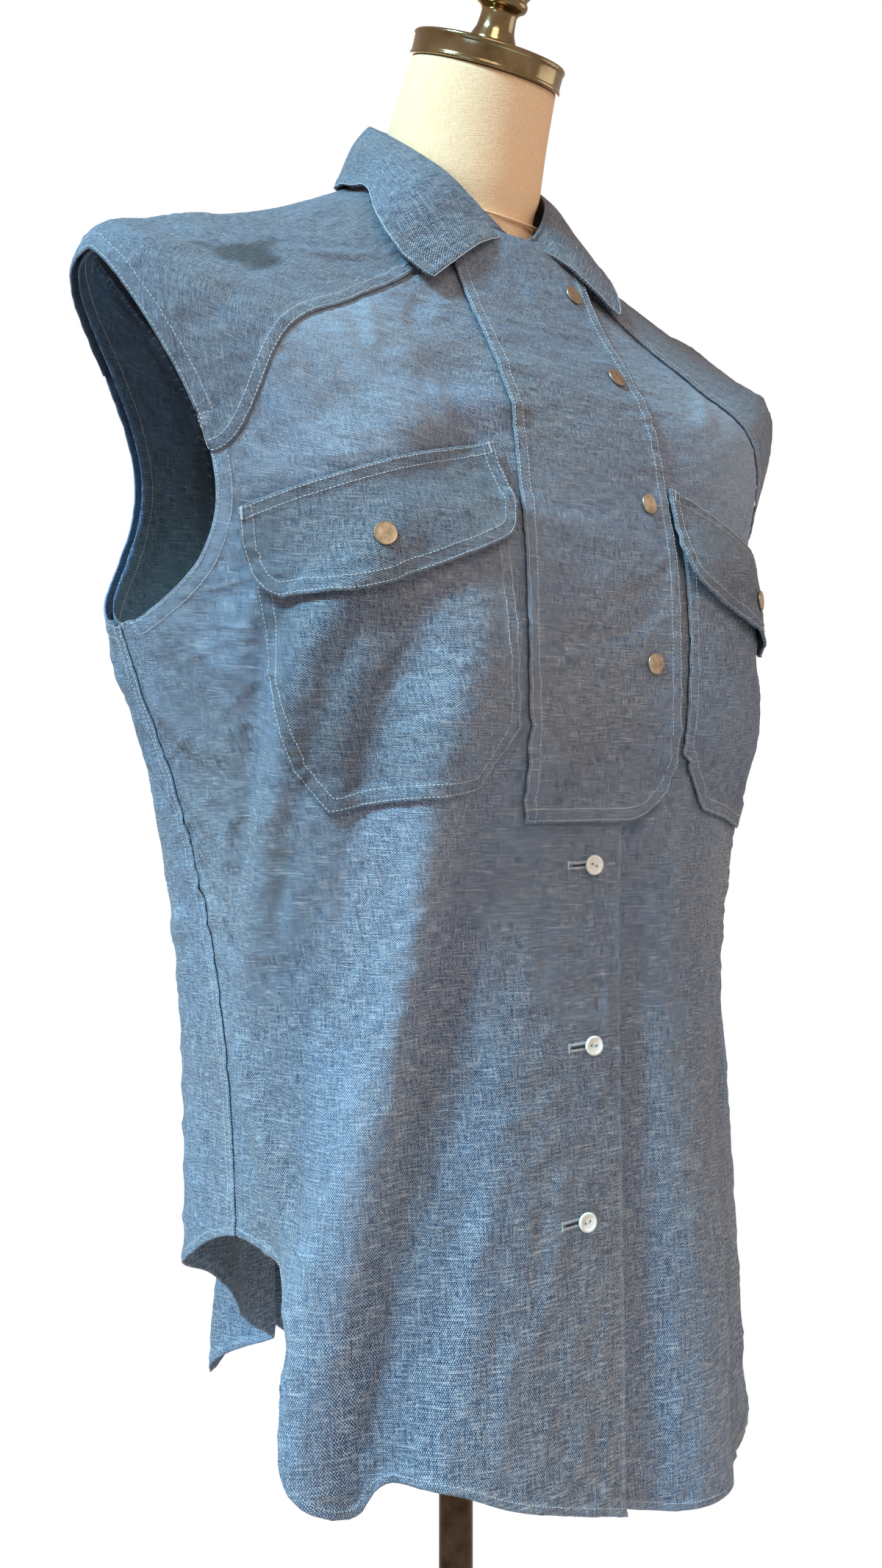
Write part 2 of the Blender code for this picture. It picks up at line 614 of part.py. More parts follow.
SNAP_RADIUS, SNAP_HEIGHT = 0.00625, 0.0014
BUTTON_RADIUS, BUTTON_HEIGHT = 0.0057, 0.0026
BUTTON_EYE_RADIUS, BUTTON_EYE_OUT = 0.0008, 0.0015  # its two thread holes, and how far out they are
ON_CLOTH = 0.0009  # under a disc, so that the cloth's facets stay clear of its rim
OVERLAY_SNAPS = ((0.034, 8.30), (0.042, 6.83), (0.043, 5.27), (0.040, 4.00))  # x, s
FLAP_SNAPS = {"right": (-0.200, 4.67), "left": (0.204, 4.54)}  # u, s
BUTTONS = (  # x, s and distance out of the form, less where the cloth's facets lie deeper
    (-0.007, 2.68, ON_CLOTH), (-0.009, 1.78, ON_CLOTH), (-0.019, 1.10, 0.0003),
)
BUTTON_TURN = (-25, -5, 15)  # degrees between a button's two holes and the level


def seat(u, s, out):
    """The place of a disc that lies on the form, its axis along the outward direction."""
    normal = out_of(folded, u, s)
    return Matrix.Translation(skin(u, s, out)) @ normal.to_track_quat("Z", "Y").to_matrix().to_4x4()


def snaps():
    profile = (
        (0, 0), (SNAP_RADIUS * 0.90, 0), (SNAP_RADIUS, SNAP_HEIGHT * 0.35), (SNAP_RADIUS, SNAP_HEIGHT * 0.7),
        (SNAP_RADIUS * 0.93, SNAP_HEIGHT), (0, SNAP_HEIGHT * 0.93),
    )
    for k, (x, s) in enumerate(OVERLAY_SNAPS):
        place = seat(u_at(x, s), s, CLOTH + LIFT + ON_CLOTH)
        turned(f"overlay_snap_{k + 1}", profile, snap_metal(), place, 18)
    for name, (u, s) in FLAP_SNAPS.items():
        turned("flap_snap_" + name, profile, snap_metal(), seat(u, s, ON_POCKET + ON_CLOTH), 18)


def buttons():
    """Two-hole buttons with a raised rim."""
    r, h = BUTTON_RADIUS, BUTTON_HEIGHT
    profile = (
        (0, 0), (r * 0.80, 0), (r, h * 0.35), (r, h * 0.75), (r * 0.93, h), (r * 0.80, h * 0.95),
        (r * 0.66, h * 0.72), (0, h * 0.68),
    )
    eye = ((0, -h), (BUTTON_EYE_RADIUS, -h), (BUTTON_EYE_RADIUS, 2 * h), (0, 2 * h))
    for k, (x, s, out) in enumerate(BUTTONS):
        place = seat(u_at(x, s), s, out)
        made = turned(f"button_{k + 1}", profile, shell_button(), place, 20)
        turn = Matrix.Rotation(math.radians(BUTTON_TURN[k]), 4, "Z")
        for n, aside in enumerate((-BUTTON_EYE_OUT, BUTTON_EYE_OUT)):
            eye_place = place @ turn @ Matrix.Translation((aside, 0, 0))
            cutter = turned(f"button_{k + 1}_eye_{n + 1}", eye, shell_button(), eye_place, 8)
            cutter.hide_render = True
            cutter.display_type = "WIRE"
            cut = made.modifiers.new(cutter.name, "BOOLEAN")
            cut.operation = "DIFFERENCE"
            cut.solver = "EXACT"
            cut.object = cutter


# ---------------------------------------------------------------- dress form and stand

CAP_TILT = math.radians(23)  # the neck leans forward
CAP_CENTRE = Vector((0, -0.0268, 1.5597))  # middle of the cap's lower face
CAP_RADIUS, CAP_HEIGHT = 0.0483, 0.0155
NECK_TOP_RADIUS = 0.0462
FORM_BOTTOM = 0.900
POLE_RADIUS = 0.0108
BASE_RADIUS, BASE_HEIGHT = 0.200, 0.022
HUB_RADIUS, HUB_HEIGHT = 0.024, 0.060

# Sections of the dress form from its hips to its shoulders: the cloth's ring s that it lies in, and its
# share of that ring's width, of its depth in front and of its depth at the back.
FORM_SECTIONS = (
    (1.30, 0.82, 0.72, 0.74), (1.65, 0.86, 0.76, 0.78), (2.00, 0.76, 0.72, 0.72), (2.50, 0.70, 0.72, 0.72),
    (3.00, 0.74, 0.84, 0.82), (3.50, 0.73, 0.93, 0.90), (4.00, 0.69, 0.94, 0.93), (4.60, 0.67, 0.94, 0.94),
    (5.30, 0.68, 0.93, 0.95), (6.00, 0.67, 0.93, 0.955), (6.60, 0.72, 0.94, 0.96), (7.20, 0.86, 0.95, 0.965),
)
FORM_SHOULDERS = (7.80, 8.30, 8.65)  # from here up the cloth rests on the form
FORM_CLEARANCE = 0.0013  # between the cloth's inner face and the form there
FORM_FRONT_CLEARANCE = 0.0060  # and as much more at the front
FORM_DROP = 0.0030
NECK_RINGS = (  # height, y and radius
    (1.4815, 0.0010, 0.0525), (1.5050, -0.0060, 0.0512), (1.5320, -0.0150, 0.0490),
)
FORM_SEGMENTS = 32


def form_section(s, width, front_depth, back_depth):
    r = ring_at(s)
    loop = []
    for k in range(FORM_SEGMENTS):
        u = 2 * k / FORM_SEGMENTS
        point = bare(u, s)
        depth = front_depth if math.cos(math.pi * u) > 0 else back_depth
        x = r["x_middle"] + (point.x - r["x_middle"]) * width
        y = r["y_side"] + (point.y - r["y_side"]) * depth
        loop.append(Vector((x, y, point.z - CLOTH - FORM_DROP)))
    return loop


def shoulder_section(s):
    """Close under the cloth on the shoulders and back, and lower in front, where the fronts lie double."""
    loop = []
    for k in range(FORM_SEGMENTS):
        u = 2 * k / FORM_SEGMENTS
        in_front = smooth(math.cos(math.pi * u) / 0.5)
        loop.append(skin(u, s, -CLOTH - FORM_CLEARANCE - FORM_FRONT_CLEARANCE * in_front))
    return loop


def neck_section(height, y, radius):
    lean = Matrix.Rotation(CAP_TILT, 3, "X")
    loop = []
    for k in range(FORM_SEGMENTS):
        angle = 2 * math.pi * k / FORM_SEGMENTS
        level = Vector((radius * math.sin(angle), -radius * math.cos(angle), 0))
        loop.append(Vector((0, y, height)) + lean @ level)
    return loop


def dress_form():
    """One closed form from the hips to the top of the neck."""
    loops = [[Vector((p.x, p.y, FORM_BOTTOM)) for p in form_section(*FORM_SECTIONS[0])]]
    loops += [form_section(*row) for row in FORM_SECTIONS[1:]]
    loops += [shoulder_section(s) for s in FORM_SHOULDERS]
    loops += [neck_section(*row) for row in NECK_RINGS]
    under_cap = CAP_CENTRE - Matrix.Rotation(CAP_TILT, 3, "X") @ Vector((0, 0, HARD_GAP))
    loops.append(neck_section(under_cap.z, under_cap.y, NECK_TOP_RADIUS))
    bm = bmesh.new()
    rings = [[bm.verts.new(point) for point in loop] for loop in loops]
    for low, high in zip(rings, rings[1:]):
        for k in range(FORM_SEGMENTS):
            n = (k + 1) % FORM_SEGMENTS
            bm.faces.new((low[k], low[n], high[n]))
            bm.faces.new((low[k], high[n], high[k]))
    for ring in (rings[0], rings[-1]):
        bm.faces.new(ring)
    bmesh.ops.recalc_face_normals(bm, faces=bm.faces)
    mesh = bpy.data.meshes.new("dress_form")
    bm.to_mesh(mesh)
    bm.free()
    smooth_shaded(mesh, 50)
    add("dress_form", mesh, canvas())


def neck_cap_and_finial():
    place = Matrix.Translation(CAP_CENTRE) @ Matrix.Rotation(CAP_TILT, 4, "X")
    r, h = CAP_RADIUS, CAP_HEIGHT
    cap = (
        (0, 0), (r * 0.97, 0), (r, 0.0012), (r, h - 0.0025), (r * 0.965, h), (r * 0.5, h + 0.0012),
        (0, h + 0.0015),
    )
    turned("neck_cap", cap, brass(), place)
    foot = h + 0.0016 + HARD_GAP
    finial = (
        (0, 0), (0.0150, 0), (0.0152, 0.003), (0.0128, 0.008), (0.0112, 0.016), (0.0112, 0.020),
        (0.0155, 0.023), (0.0162, 0.026), (0.0150, 0.029), (0.0178, 0.033), (0.0195, 0.041), (0.0182, 0.051),
        (0.0135, 0.058), (0.0070, 0.062), (0, 0.0632),
    )
    turned("finial", finial, brass(), place @ Matrix.Translation((0, 0, foot)), 28)


def stand():
    top = BASE_HEIGHT + HUB_HEIGHT
    base = (
        (0, 0), (BASE_RADIUS - 0.003, 0), (BASE_RADIUS, 0.003), (BASE_RADIUS, 0.010),
        (BASE_RADIUS - 0.006, 0.0145), (0.120, 0.0185), (0.045, BASE_HEIGHT),
        (HUB_RADIUS + 0.003, BASE_HEIGHT + 0.006), (HUB_RADIUS, BASE_HEIGHT + 0.016),
        (HUB_RADIUS, top - 0.003), (HUB_RADIUS - 0.003, top), (0, top),
    )
    turned("base", base, bronze(), segments=48)
    low, high = top + HARD_GAP, FORM_BOTTOM - HARD_GAP
    turned("pole", ((0, low), (POLE_RADIUS, low), (POLE_RADIUS, high), (0, high)), bronze(), segments=24)


def clear():
    for old in list(bpy.data.objects):
        bpy.data.objects.remove(old, do_unlink=True)


def main():
    clear()
    fronts()
    back()
    yoke()
    overlay()
    pockets()
    armhole_facings()
    collar()
    snaps()
    buttons()
    dress_form()
    neck_cap_and_finial()
    stand()


if __name__ == "__main__":
    main()
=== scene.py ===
"""The looks of the sleeveless chambray work shirt on its dress form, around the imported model.

The cloth follows one closed form, as in the model. Its points have two coordinates: u goes round the body
(0 centre front, 0.5 the wearer's left side, 1 centre back, -0.5 or 1.5 the wearer's right side) and s climbs
from the hem (0) to the neckline (9). Metres, +Z up, and the shirt's front faces -Y.
"""

import math
from collections import namedtuple
from functools import cache

import bpy
import numpy as np
from mathutils import Matrix, Vector
from mathutils.bvhtree import BVHTree
from mathutils.kdtree import KDTree


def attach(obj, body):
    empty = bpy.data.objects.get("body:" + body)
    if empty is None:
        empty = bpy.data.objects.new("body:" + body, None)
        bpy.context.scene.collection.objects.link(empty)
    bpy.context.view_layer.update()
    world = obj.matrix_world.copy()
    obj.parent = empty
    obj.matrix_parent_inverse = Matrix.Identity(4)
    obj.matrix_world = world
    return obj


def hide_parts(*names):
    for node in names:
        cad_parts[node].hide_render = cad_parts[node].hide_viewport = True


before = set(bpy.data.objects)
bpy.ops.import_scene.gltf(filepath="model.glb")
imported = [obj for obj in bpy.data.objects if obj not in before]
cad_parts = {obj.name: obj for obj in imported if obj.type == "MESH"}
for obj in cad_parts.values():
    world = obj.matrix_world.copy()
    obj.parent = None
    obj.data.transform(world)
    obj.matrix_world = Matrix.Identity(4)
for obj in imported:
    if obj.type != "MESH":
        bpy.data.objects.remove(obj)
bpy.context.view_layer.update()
rng = np.random.default_rng(7)

# ---------------------------------------------------------------- the form the cloth follows

RING_COLUMNS = (
    "z_front", "z_side", "z_back", "half_width", "x_middle", "y_side", "y_front", "y_back", "square", "fall",
)
RINGS = np.array((
    (0.690, 0.690, 0.690, 0.178, 0.012, 0.000, -0.140, 0.130, 3.0, 1.5),  # 0 lowest hem
    (0.860, 0.860, 0.860, 0.173, 0.009, 0.000, -0.134, 0.130, 2.9, 1.5),  # 1 hip
    (1.000, 1.000, 1.000, 0.178, 0.005, 0.002, -0.127, 0.122, 2.7, 1.5),  # 2 waist
    (1.105, 1.110, 1.115, 0.199, 0.002, 0.006, -0.126, 0.108, 2.5, 1.5),  # 3 under the bust
    (1.190, 1.207, 1.215, 0.228, 0.000, 0.014, -0.129, 0.110, 2.3, 1.5),  # 4 underarm
    (1.265, 1.290, 1.310, 0.240, -0.002, 0.004, -0.125, 0.112, 2.2, 1.4),  # 5 middle of the armhole
    (1.330, 1.390, 1.395, 0.265, -0.004, -0.029, -0.112, 0.100, 2.1, 1.3),  # 6 tip of the shoulder
    (1.368, 1.417, 1.435, 0.227, -0.003, -0.024, -0.094, 0.092, 2.1, 1.3),  # 7 outer shoulder
    (1.402, 1.438, 1.470, 0.165, 0.000, -0.016, -0.075, 0.082, 2.1, 1.3),  # 8 middle of the shoulder
    (1.452, 1.480, 1.512, 0.068, 0.000, 0.000, -0.056, 0.062, 2.0, 1.2),  # 9 neckline
))
NECKLINE = len(RINGS) - 1.0
UNDERARM = 4.0


# The large folds: each runs down a line, is width wide to each side of it and stands out by its heights.
Fold = namedtuple("Fold", "u_high s_high u_low s_low width height_high height_low")
FOLDS = (
    (-0.150, 5.4, -0.170, 2.9, 0.085, 0.010, 0.012),  # right bust
    (0.170, 5.4, 0.190, 2.9, 0.085, 0.011, 0.012),  # left bust
    (-0.285, 5.2, -0.430, 2.4, 0.056, -0.008, -0.006),  # hollow between the right armhole and the bust
    (-0.075, 4.90, -0.457, -1.0, 0.034, 0.007, 0.028),  # right front, bust to tail
    (-0.088, 3.20, -0.374, -1.0, 0.034, -0.006, -0.014),  # hollow on its inner side
    (-0.135, 5.00, -0.335, 0.70, 0.024, -0.007, -0.012),  # hollow on its outer side
    (-0.155, 5.20, -0.470, 1.55, 0.021, 0.007, 0.008),  # short ridge across the pocket to the side seam
    (-0.490, 2.05, -0.350, 0.75, 0.018, 0.007, 0.007),  # ridge from the side seam down to the tail's ridge
    (-0.235, 4.70, -0.445, 2.00, 0.022, -0.006, -0.006),  # hollow beside the short ridge
    (-0.060, 6.20, -0.260, 4.85, 0.040, 0.006, 0.004),  # right chest, overlay to flap
    (-0.105, 6.90, -0.115, 4.90, 0.026, -0.005, -0.004),  # hollow beside the overlay
    (0.120, 3.4, 0.115, -1.0, 0.040, 0.004, 0.010),  # left front, bust to hem
    (0.240, 3.0, 0.220, -0.8, 0.036, -0.005, -0.010),  # hollow beside it
    (0.200, 4.2, 0.420, 1.2, 0.034, 0.007, 0.006),  # left front, bust to side seam
    (0.340, 2.4, 0.330, -0.8, 0.034, 0.004, 0.009),  # left tail
    (0.640, 3.4, 0.660, -1.0, 0.045, 0.003, 0.014),  # left back
    (0.780, 3.6, 0.770, -1.0, 0.034, -0.004, -0.014),  # hollow in the left back
    (0.900, 3.8, 0.890, -1.2, 0.040, 0.003, 0.016),  # back, left of the middle
    (1.030, 3.2, 1.020, -1.0, 0.036, -0.002, -0.010),  # hollow at the middle of the back
    (1.215, 3.0, 1.220, -1.4, 0.034, -0.002, -0.018),  # hollow beside the flute
    (1.370, 4.0, 1.360, -0.8, 0.055, 0.002, 0.004),  # right back
)

# Smaller creases. Each runs from a start to an end, bends sideways by bend metres at its middle, is width
# metres wide to each side and height metres high. A negative height is a trough.
Crease = namedtuple("Crease", "u_start s_start u_end s_end bend width height")
CREASES = (
    # right chest, from the yoke's seam down
    (-0.300, 5.25, -0.245, 4.95, 0.004, 0.007, 0.0012),
    (-0.275, 5.65, -0.200, 5.10, 0.006, 0.010, 0.0016),
    (-0.250, 6.05, -0.165, 5.35, 0.006, 0.009, -0.0012),
    (-0.215, 6.50, -0.150, 5.45, 0.004, 0.010, 0.0014),
    (-0.200, 7.20, -0.170, 6.05, -0.003, 0.008, 0.0012),
    (-0.150, 7.90, -0.135, 6.40, 0.003, 0.011, -0.0013),
    (-0.125, 6.20, -0.120, 5.20, 0.002, 0.009, 0.0010),
    (-0.330, 4.80, -0.300, 4.35, 0.003, 0.009, 0.0014),
    (-0.375, 4.55, -0.330, 4.05, 0.004, 0.010, -0.0014),
    (-0.405, 4.20, -0.345, 3.60, 0.005, 0.012, 0.0018),
    (-0.450, 3.95, -0.370, 3.35, 0.006, 0.010, -0.0013),
    # right side, under the arm and at the side seam
    (-0.490, 3.75, -0.400, 3.15, 0.006, 0.012, 0.0018),
    (-0.495, 3.20, -0.410, 2.75, 0.005, 0.010, 0.0015),
    (-0.498, 2.85, -0.430, 2.35, 0.006, 0.009, -0.0014),
    (-0.495, 2.30, -0.420, 2.10, 0.005, 0.011, 0.0016),
    (-0.490, 1.75, -0.430, 1.50, 0.003, 0.009, 0.0012),
    (-0.485, 1.35, -0.420, 1.22, -0.003, 0.008, -0.0012),
    # right front, below the pocket
    (-0.210, 2.95, -0.245, 2.10, 0.004, 0.010, -0.0014),
    (-0.300, 2.75, -0.360, 2.20, 0.003, 0.009, 0.0011),
    (-0.130, 2.60, -0.150, 1.60, 0.003, 0.014, 0.0014),
    (-0.090, 2.80, -0.085, 2.05, -0.003, 0.010, -0.0010),
    (-0.270, 1.90, -0.300, 1.15, 0.004, 0.011, 0.0012),
    (-0.180, 1.40, -0.210, 0.70, 0.003, 0.012, -0.0016),
    (-0.330, 1.20, -0.385, 0.75, -0.004, 0.010, 0.0014),
    (-0.060, 1.55, -0.100, 0.80, 0.002, 0.010, 0.0010),
    (-0.355, 0.95, -0.400, 0.45, 0.003, 0.009, -0.0012),
    (-0.140, 0.85, -0.165, 0.35, 0.002, 0.009, 0.0012),
    # across the overlay
    (-0.090, 5.05, 0.020, 4.80, -0.005, 0.012, 0.0010),
    (-0.080, 4.15, 0.060, 4.35, 0.006, 0.013, -0.0010),
    (-0.085, 3.50, -0.010, 3.10, 0.004, 0.008, 0.0012),
    (-0.060, 3.35, -0.020, 3.02, 0.003, 0.006, -0.0012),
    (-0.095, 6.60, 0.030, 6.20, -0.008, 0.014, 0.0010),
    (0.000, 7.60, 0.080, 7.20, 0.005, 0.012, -0.0009),
    # left front
    (0.280, 5.40, 0.200, 5.00, -0.005, 0.009, 0.0014),
    (0.230, 6.10, 0.150, 5.50, -0.006, 0.010, -0.0013),
    (0.200, 7.00, 0.140, 6.10, -0.004, 0.011, 0.0014),
    (0.400, 4.20, 0.330, 3.60, -0.005, 0.012, 0.0017),
    (0.480, 3.60, 0.400, 3.05, -0.006, 0.010, -0.0014),
    (0.495, 2.90, 0.410, 2.50, -0.005, 0.011, 0.0016),
    (0.110, 3.20, 0.100, 2.30, 0.003, 0.010, 0.0013),
    (0.175, 2.70, 0.180, 1.60, -0.004, 0.012, -0.0016),
    (0.060, 2.20, 0.050, 1.20, 0.002, 0.011, -0.0012),
    (0.270, 1.90, 0.290, 1.10, 0.004, 0.010, 0.0014),
    (0.150, 1.10, 0.160, 0.25, -0.003, 0.010, 0.0014),
    (0.390, 1.70, 0.420, 1.20, 0.003, 0.009, -0.0012),
    # yoke: the wearer's right shoulder, the back of the neck and the left shoulder
    (-0.450, 6.25, -0.330, 6.90, 0.008, 0.009, 0.0012),
    (-0.360, 5.60, -0.270, 6.40, 0.006, 0.008, -0.0011),
    (-0.480, 7.20, -0.360, 7.80, -0.004, 0.010, 0.0012),
    (-0.330, 7.40, -0.230, 8.10, 0.004, 0.009, 0.0010),
    (0.450, 6.30, 0.340, 7.00, -0.007, 0.009, 0.0012),
    (0.380, 5.80, 0.290, 6.60, -0.005, 0.008, -0.0010),
    (0.470, 7.30, 0.350, 7.90, 0.004, 0.010, 0.0012),
    (0.560, 6.60, 0.680, 7.20, 0.006, 0.010, 0.0013),
    (0.700, 7.40, 0.860, 7.70, -0.006, 0.012, 0.0011),
    (1.440, 6.60, 1.330, 7.20, -0.006, 0.010, 0.0013),
    (1.290, 7.50, 1.150, 7.80, 0.007, 0.012, 0.0011),
    (0.880, 8.10, 1.100, 8.20, 0.006, 0.010, -0.0010),
    # back
    (0.560, 4.40, 0.680, 4.80, 0.008, 0.012, 0.0017),
    (0.540, 3.60, 0.660, 4.10, 0.009, 0.013, 0.0019),
    (0.530, 3.00, 0.640, 3.30, 0.006, 0.012, -0.0016),
    (0.540, 2.30, 0.640, 2.60, 0.006, 0.013, 0.0018),
    (0.520, 1.80, 0.600, 1.75, -0.004, 0.010, -0.0014),
    (0.740, 5.40, 0.720, 4.50, 0.006, 0.014, 0.0016),
    (0.860, 5.60, 0.840, 4.70, -0.005, 0.016, 0.0014),
    (1.010, 5.90, 1.000, 4.60, 0.004, 0.018, -0.0014),
    (1.160, 5.70, 1.180, 4.60, 0.005, 0.016, 0.0015),
    (1.280, 5.30, 1.300, 4.40, -0.006, 0.014, 0.0016),
    (1.440, 4.40, 1.320, 4.80, -0.008, 0.012, 0.0017),
    (1.460, 3.60, 1.340, 4.10, -0.009, 0.013, 0.0018),
    (1.470, 3.00, 1.360, 3.30, -0.006, 0.012, -0.0016),
    (1.460, 2.40, 1.350, 2.20, 0.005, 0.013, 0.0018),
    (0.720, 3.20, 0.730, 2.10, 0.005, 0.013, 0.0016),
    (0.850, 2.60, 0.840, 1.60, -0.004, 0.012, -0.0014),
    (0.960, 3.00, 0.970, 2.00, 0.004, 0.013, 0.0014),
    (1.090, 2.50, 1.080, 1.60, -0.004, 0.011, 0.0014),
    (1.270, 2.60, 1.290, 1.50, 0.005, 0.012, -0.0016),
    (1.400, 1.60, 1.380, 1.00, 0.003, 0.011, 0.0014),
    (0.600, 1.40, 0.620, 1.00, -0.003, 0.010, 0.0014),
)

FLAT_U, FLAT_S = 0.52, 0.092  # metres of flat cloth for one unit of u and of s


def smooth(t):
    t = np.clip(t, 0.0, 1.0)
    return t * t * (3.0 - 2.0 * t)


def bump(t):
    """1 at t = 0, falling to 0 at -1 and 1."""
    return np.clip(1.0 - t * t, 0.0, 1.0) ** 2


def tapered(t, end):
    """1 between t = 0 and 1, falling to 0 over a share of the way at each end."""
    return smooth(t / end) * smooth((1.0 - t) / end)


def blend(a, b, t):
    return a + (b - a) * t


def unit(vectors):
    """The same directions at length 1."""
    return vectors / np.linalg.norm(vectors, axis=-1, keepdims=True)


def beside(u, middle=0.0):
    """How far round the body u is from a middle, from -1 to 1."""
    return (u - middle + 1.0) % 2.0 - 1.0


def through(rows, place):
    """A smooth curve through rows of values, at places counted in rows."""
    low = np.minimum(place.astype(int), len(rows) - 2)
    t = (place - low).reshape(*place.shape, *([1] * (rows.ndim - 1)))
    a, b, c, d = (rows[np.clip(low + k, 0, len(rows) - 1)] for k in (-1, 0, 1, 2))
    return b + 0.5 * t * (c - a + t * (2 * a - 5 * b + 4 * c - d + t * (3 * (b - c) + d - a)))


def ring_at(s):
    """The columns of the ring at s."""
    return dict(zip(RING_COLUMNS, np.moveaxis(through(RINGS, np.clip(s, 0.0, NECKLINE)), -1, 0)))


def bare(u, s):
    """Points of the form before its folds."""
    r = ring_at(s)
    sine, cosine = np.sin(np.pi * u), np.cos(np.pi * u)
    swell = (np.abs(sine) ** r["square"] + np.abs(cosine) ** r["square"]) ** (-1.0 / r["square"])
    along = np.abs(cosine) * swell
    y_end = np.where(cosine > 0, r["y_front"], r["y_back"])
    z_end = np.where(cosine > 0, r["z_front"], r["z_back"])
    x = r["x_middle"] + r["half_width"] * sine * swell
    y = r["y_side"] + (y_end - r["y_side"]) * along
    z = r["z_side"] + (z_end - r["z_side"]) * along ** r["fall"]
    return np.stack((x, y, z), -1)


def half_girth(s):
    """The length round the form for one unit of u."""
    r = ring_at(s)
    depth = (r["y_back"] - r["y_front"]) / 2
    return np.pi * np.sqrt((r["half_width"] ** 2 + depth**2) / 2)


def fold_height(u, s):
    total, girth = np.zeros_like(u), half_girth(s)
    for fold in map(Fold._make, FOLDS):
        t = (s - fold.s_low) / (fold.s_high - fold.s_low)
        aside = beside(u, blend(fold.u_low, fold.u_high, t)) * girth / fold.width
        total += blend(fold.height_low, fold.height_high, t) * tapered(t, 0.3) * bump(aside)
    return total


def metric(u, s):
    """Metres for one unit of u and for one unit of s at a place on the form."""
    u, s = np.array([float(u)]), np.array([float(s)])
    round_the_body = bare(u + 0.01, s) - bare(u - 0.01, s)
    upward = bare(u, s + 0.05) - bare(u, s - 0.05)
    return np.linalg.norm(round_the_body) / 0.02, np.linalg.norm(upward) / 0.1


CREASE_DEPTH = 1.5  # the cloth is that many times as creased as the table says


def crease_height(u, s):
    total = np.zeros_like(u)
    for crease in map(Crease._make, CREASES):
        per_u, per_s = metric((crease.u_start + crease.u_end) / 2, (crease.s_start + crease.s_end) / 2)
        run = np.array([(crease.u_end - crease.u_start) * per_u, (crease.s_end - crease.s_start) * per_s])
        length = np.hypot(*run)
        x, y = beside(u, crease.u_start) * per_u, (s - crease.s_start) * per_s
        t = (x * run[0] + y * run[1]) / length**2
        aside = (x * run[1] - y * run[0]) / length - crease.bend * 4 * t * (1 - t)
        aside = aside / crease.width * np.where(aside > 0, 1.3, 0.8)  # one flank is steeper
        total += CREASE_DEPTH * crease.height * tapered(t, 0.35) * bump(aside)
    return total


# Fine wrinkles that come and go in patches: direction in degrees, spacing, height, size of their patches.
WRINKLES = (
    (12, 0.026, 0.00085, 0.110), (-38, 0.034, 0.00120, 0.140), (61, 0.030, 0.00110, 0.120),
    (88, 0.041, 0.00110, 0.170), (-72, 0.023, 0.00070, 0.090), (33, 0.047, 0.00130, 0.190),
    (-15, 0.019, 0.00050, 0.080),
)


def wrinkle_height(u, s):
    """Narrow ridges that wander, in patches of their own and alike on both sides of the body."""
    u = np.abs(beside(u))
    x, y = u * FLAT_U, s * FLAT_S
    total = np.zeros_like(u)
    for k, (direction, spacing, height, size) in enumerate(WRINKLES):
        cosine, sine = math.cos(math.radians(direction)), math.sin(math.radians(direction))
        p, q = x * cosine + y * sine, y * cosine - x * sine
        wander = 0.45 * np.sin(2 * np.pi * p / 0.083 + 2.1 * k)
        wander = wander + 0.30 * np.sin(2 * np.pi * (p + 0.7 * q) / 0.037 + k)
        ridge = (1.0 - np.abs(np.sin(np.pi * (q / spacing + wander)))) ** 2.2
        spread = np.sin(2 * np.pi * p / size + 1.7 * k) + np.sin(2 * np.pi * q / (size * 0.83) + 0.9 * k)
        total += height * (ridge - 0.3) * smooth((spread + 0.5) / 1.6)
    # the cloth is calmer on the chest and the shoulders, and lies flat round the armholes
    chest = smooth((0.40 - u) / 0.08) * smooth((s - 4.2) / 0.8)
    calm = 1.0 - 0.62 * np.maximum(chest, smooth((s - 5.8) / 0.9))
    reach = np.where(u < 0.5, ARMHOLE_FRONT, ARMHOLE_BACK)
    from_armhole = np.hypot((u - 0.5) / reach, (s - ARMHOLE_MIDDLE) / ARMHOLE_HALF_HEIGHT)
    return total * calm * blend(0.2, 1.0, smooth((from_armhole - 1.0) / 0.35))


STEP_U, STEP_S = 0.004, 0.02


def out_of(surface, u, s):
    """The outward directions of a surface at (u, s)."""
    s = np.minimum(s, NECKLINE - STEP_S)
    round_the_body = surface(u + STEP_U, s) - surface(u - STEP_U, s)
    return unit(np.cross(round_the_body, surface(u, s + STEP_S) - surface(u, np.maximum(s - STEP_S, 0.0))))


FLUTE_U, FLUTE_TOP, FLUTE_HEIGHT, FLUTE_LEAN = 1.086, 3.3, 0.058, 0.48
FLUTE_NEAR, FLUTE_FAR = 0.013, 0.042  # widths of its two flanks


def folded(u, s):
    """The form with its folds, and the deep flute in the right of the back tail, which leans over."""
    near_hem = smooth((2.2 - s) / 1.6)
    aside = beside(u, FLUTE_U) * half_girth(s)
    flank = np.where(aside > 0, aside / blend(FLUTE_FAR, FLUTE_NEAR, near_hem), aside / FLUTE_FAR)
    height = FLUTE_HEIGHT * smooth((FLUTE_TOP - s) / FLUTE_TOP) ** 1.3 * bump(flank) ** 0.7
    points = bare(u, s) + out_of(bare, u, s) * (fold_height(u, s) + height)[..., None]
    points[..., 0] -= FLUTE_LEAN * near_hem * height
    return points


def skin(u, s, out=0.0):
    """Points at a distance out of the folded form, and the outward directions there."""
    normal = out_of(folded, u, s)
    out = np.broadcast_to(out, u.shape) + crease_height(u, s) + wrinkle_height(u, s)
    return folded(u, s) + normal * out[..., None], normal


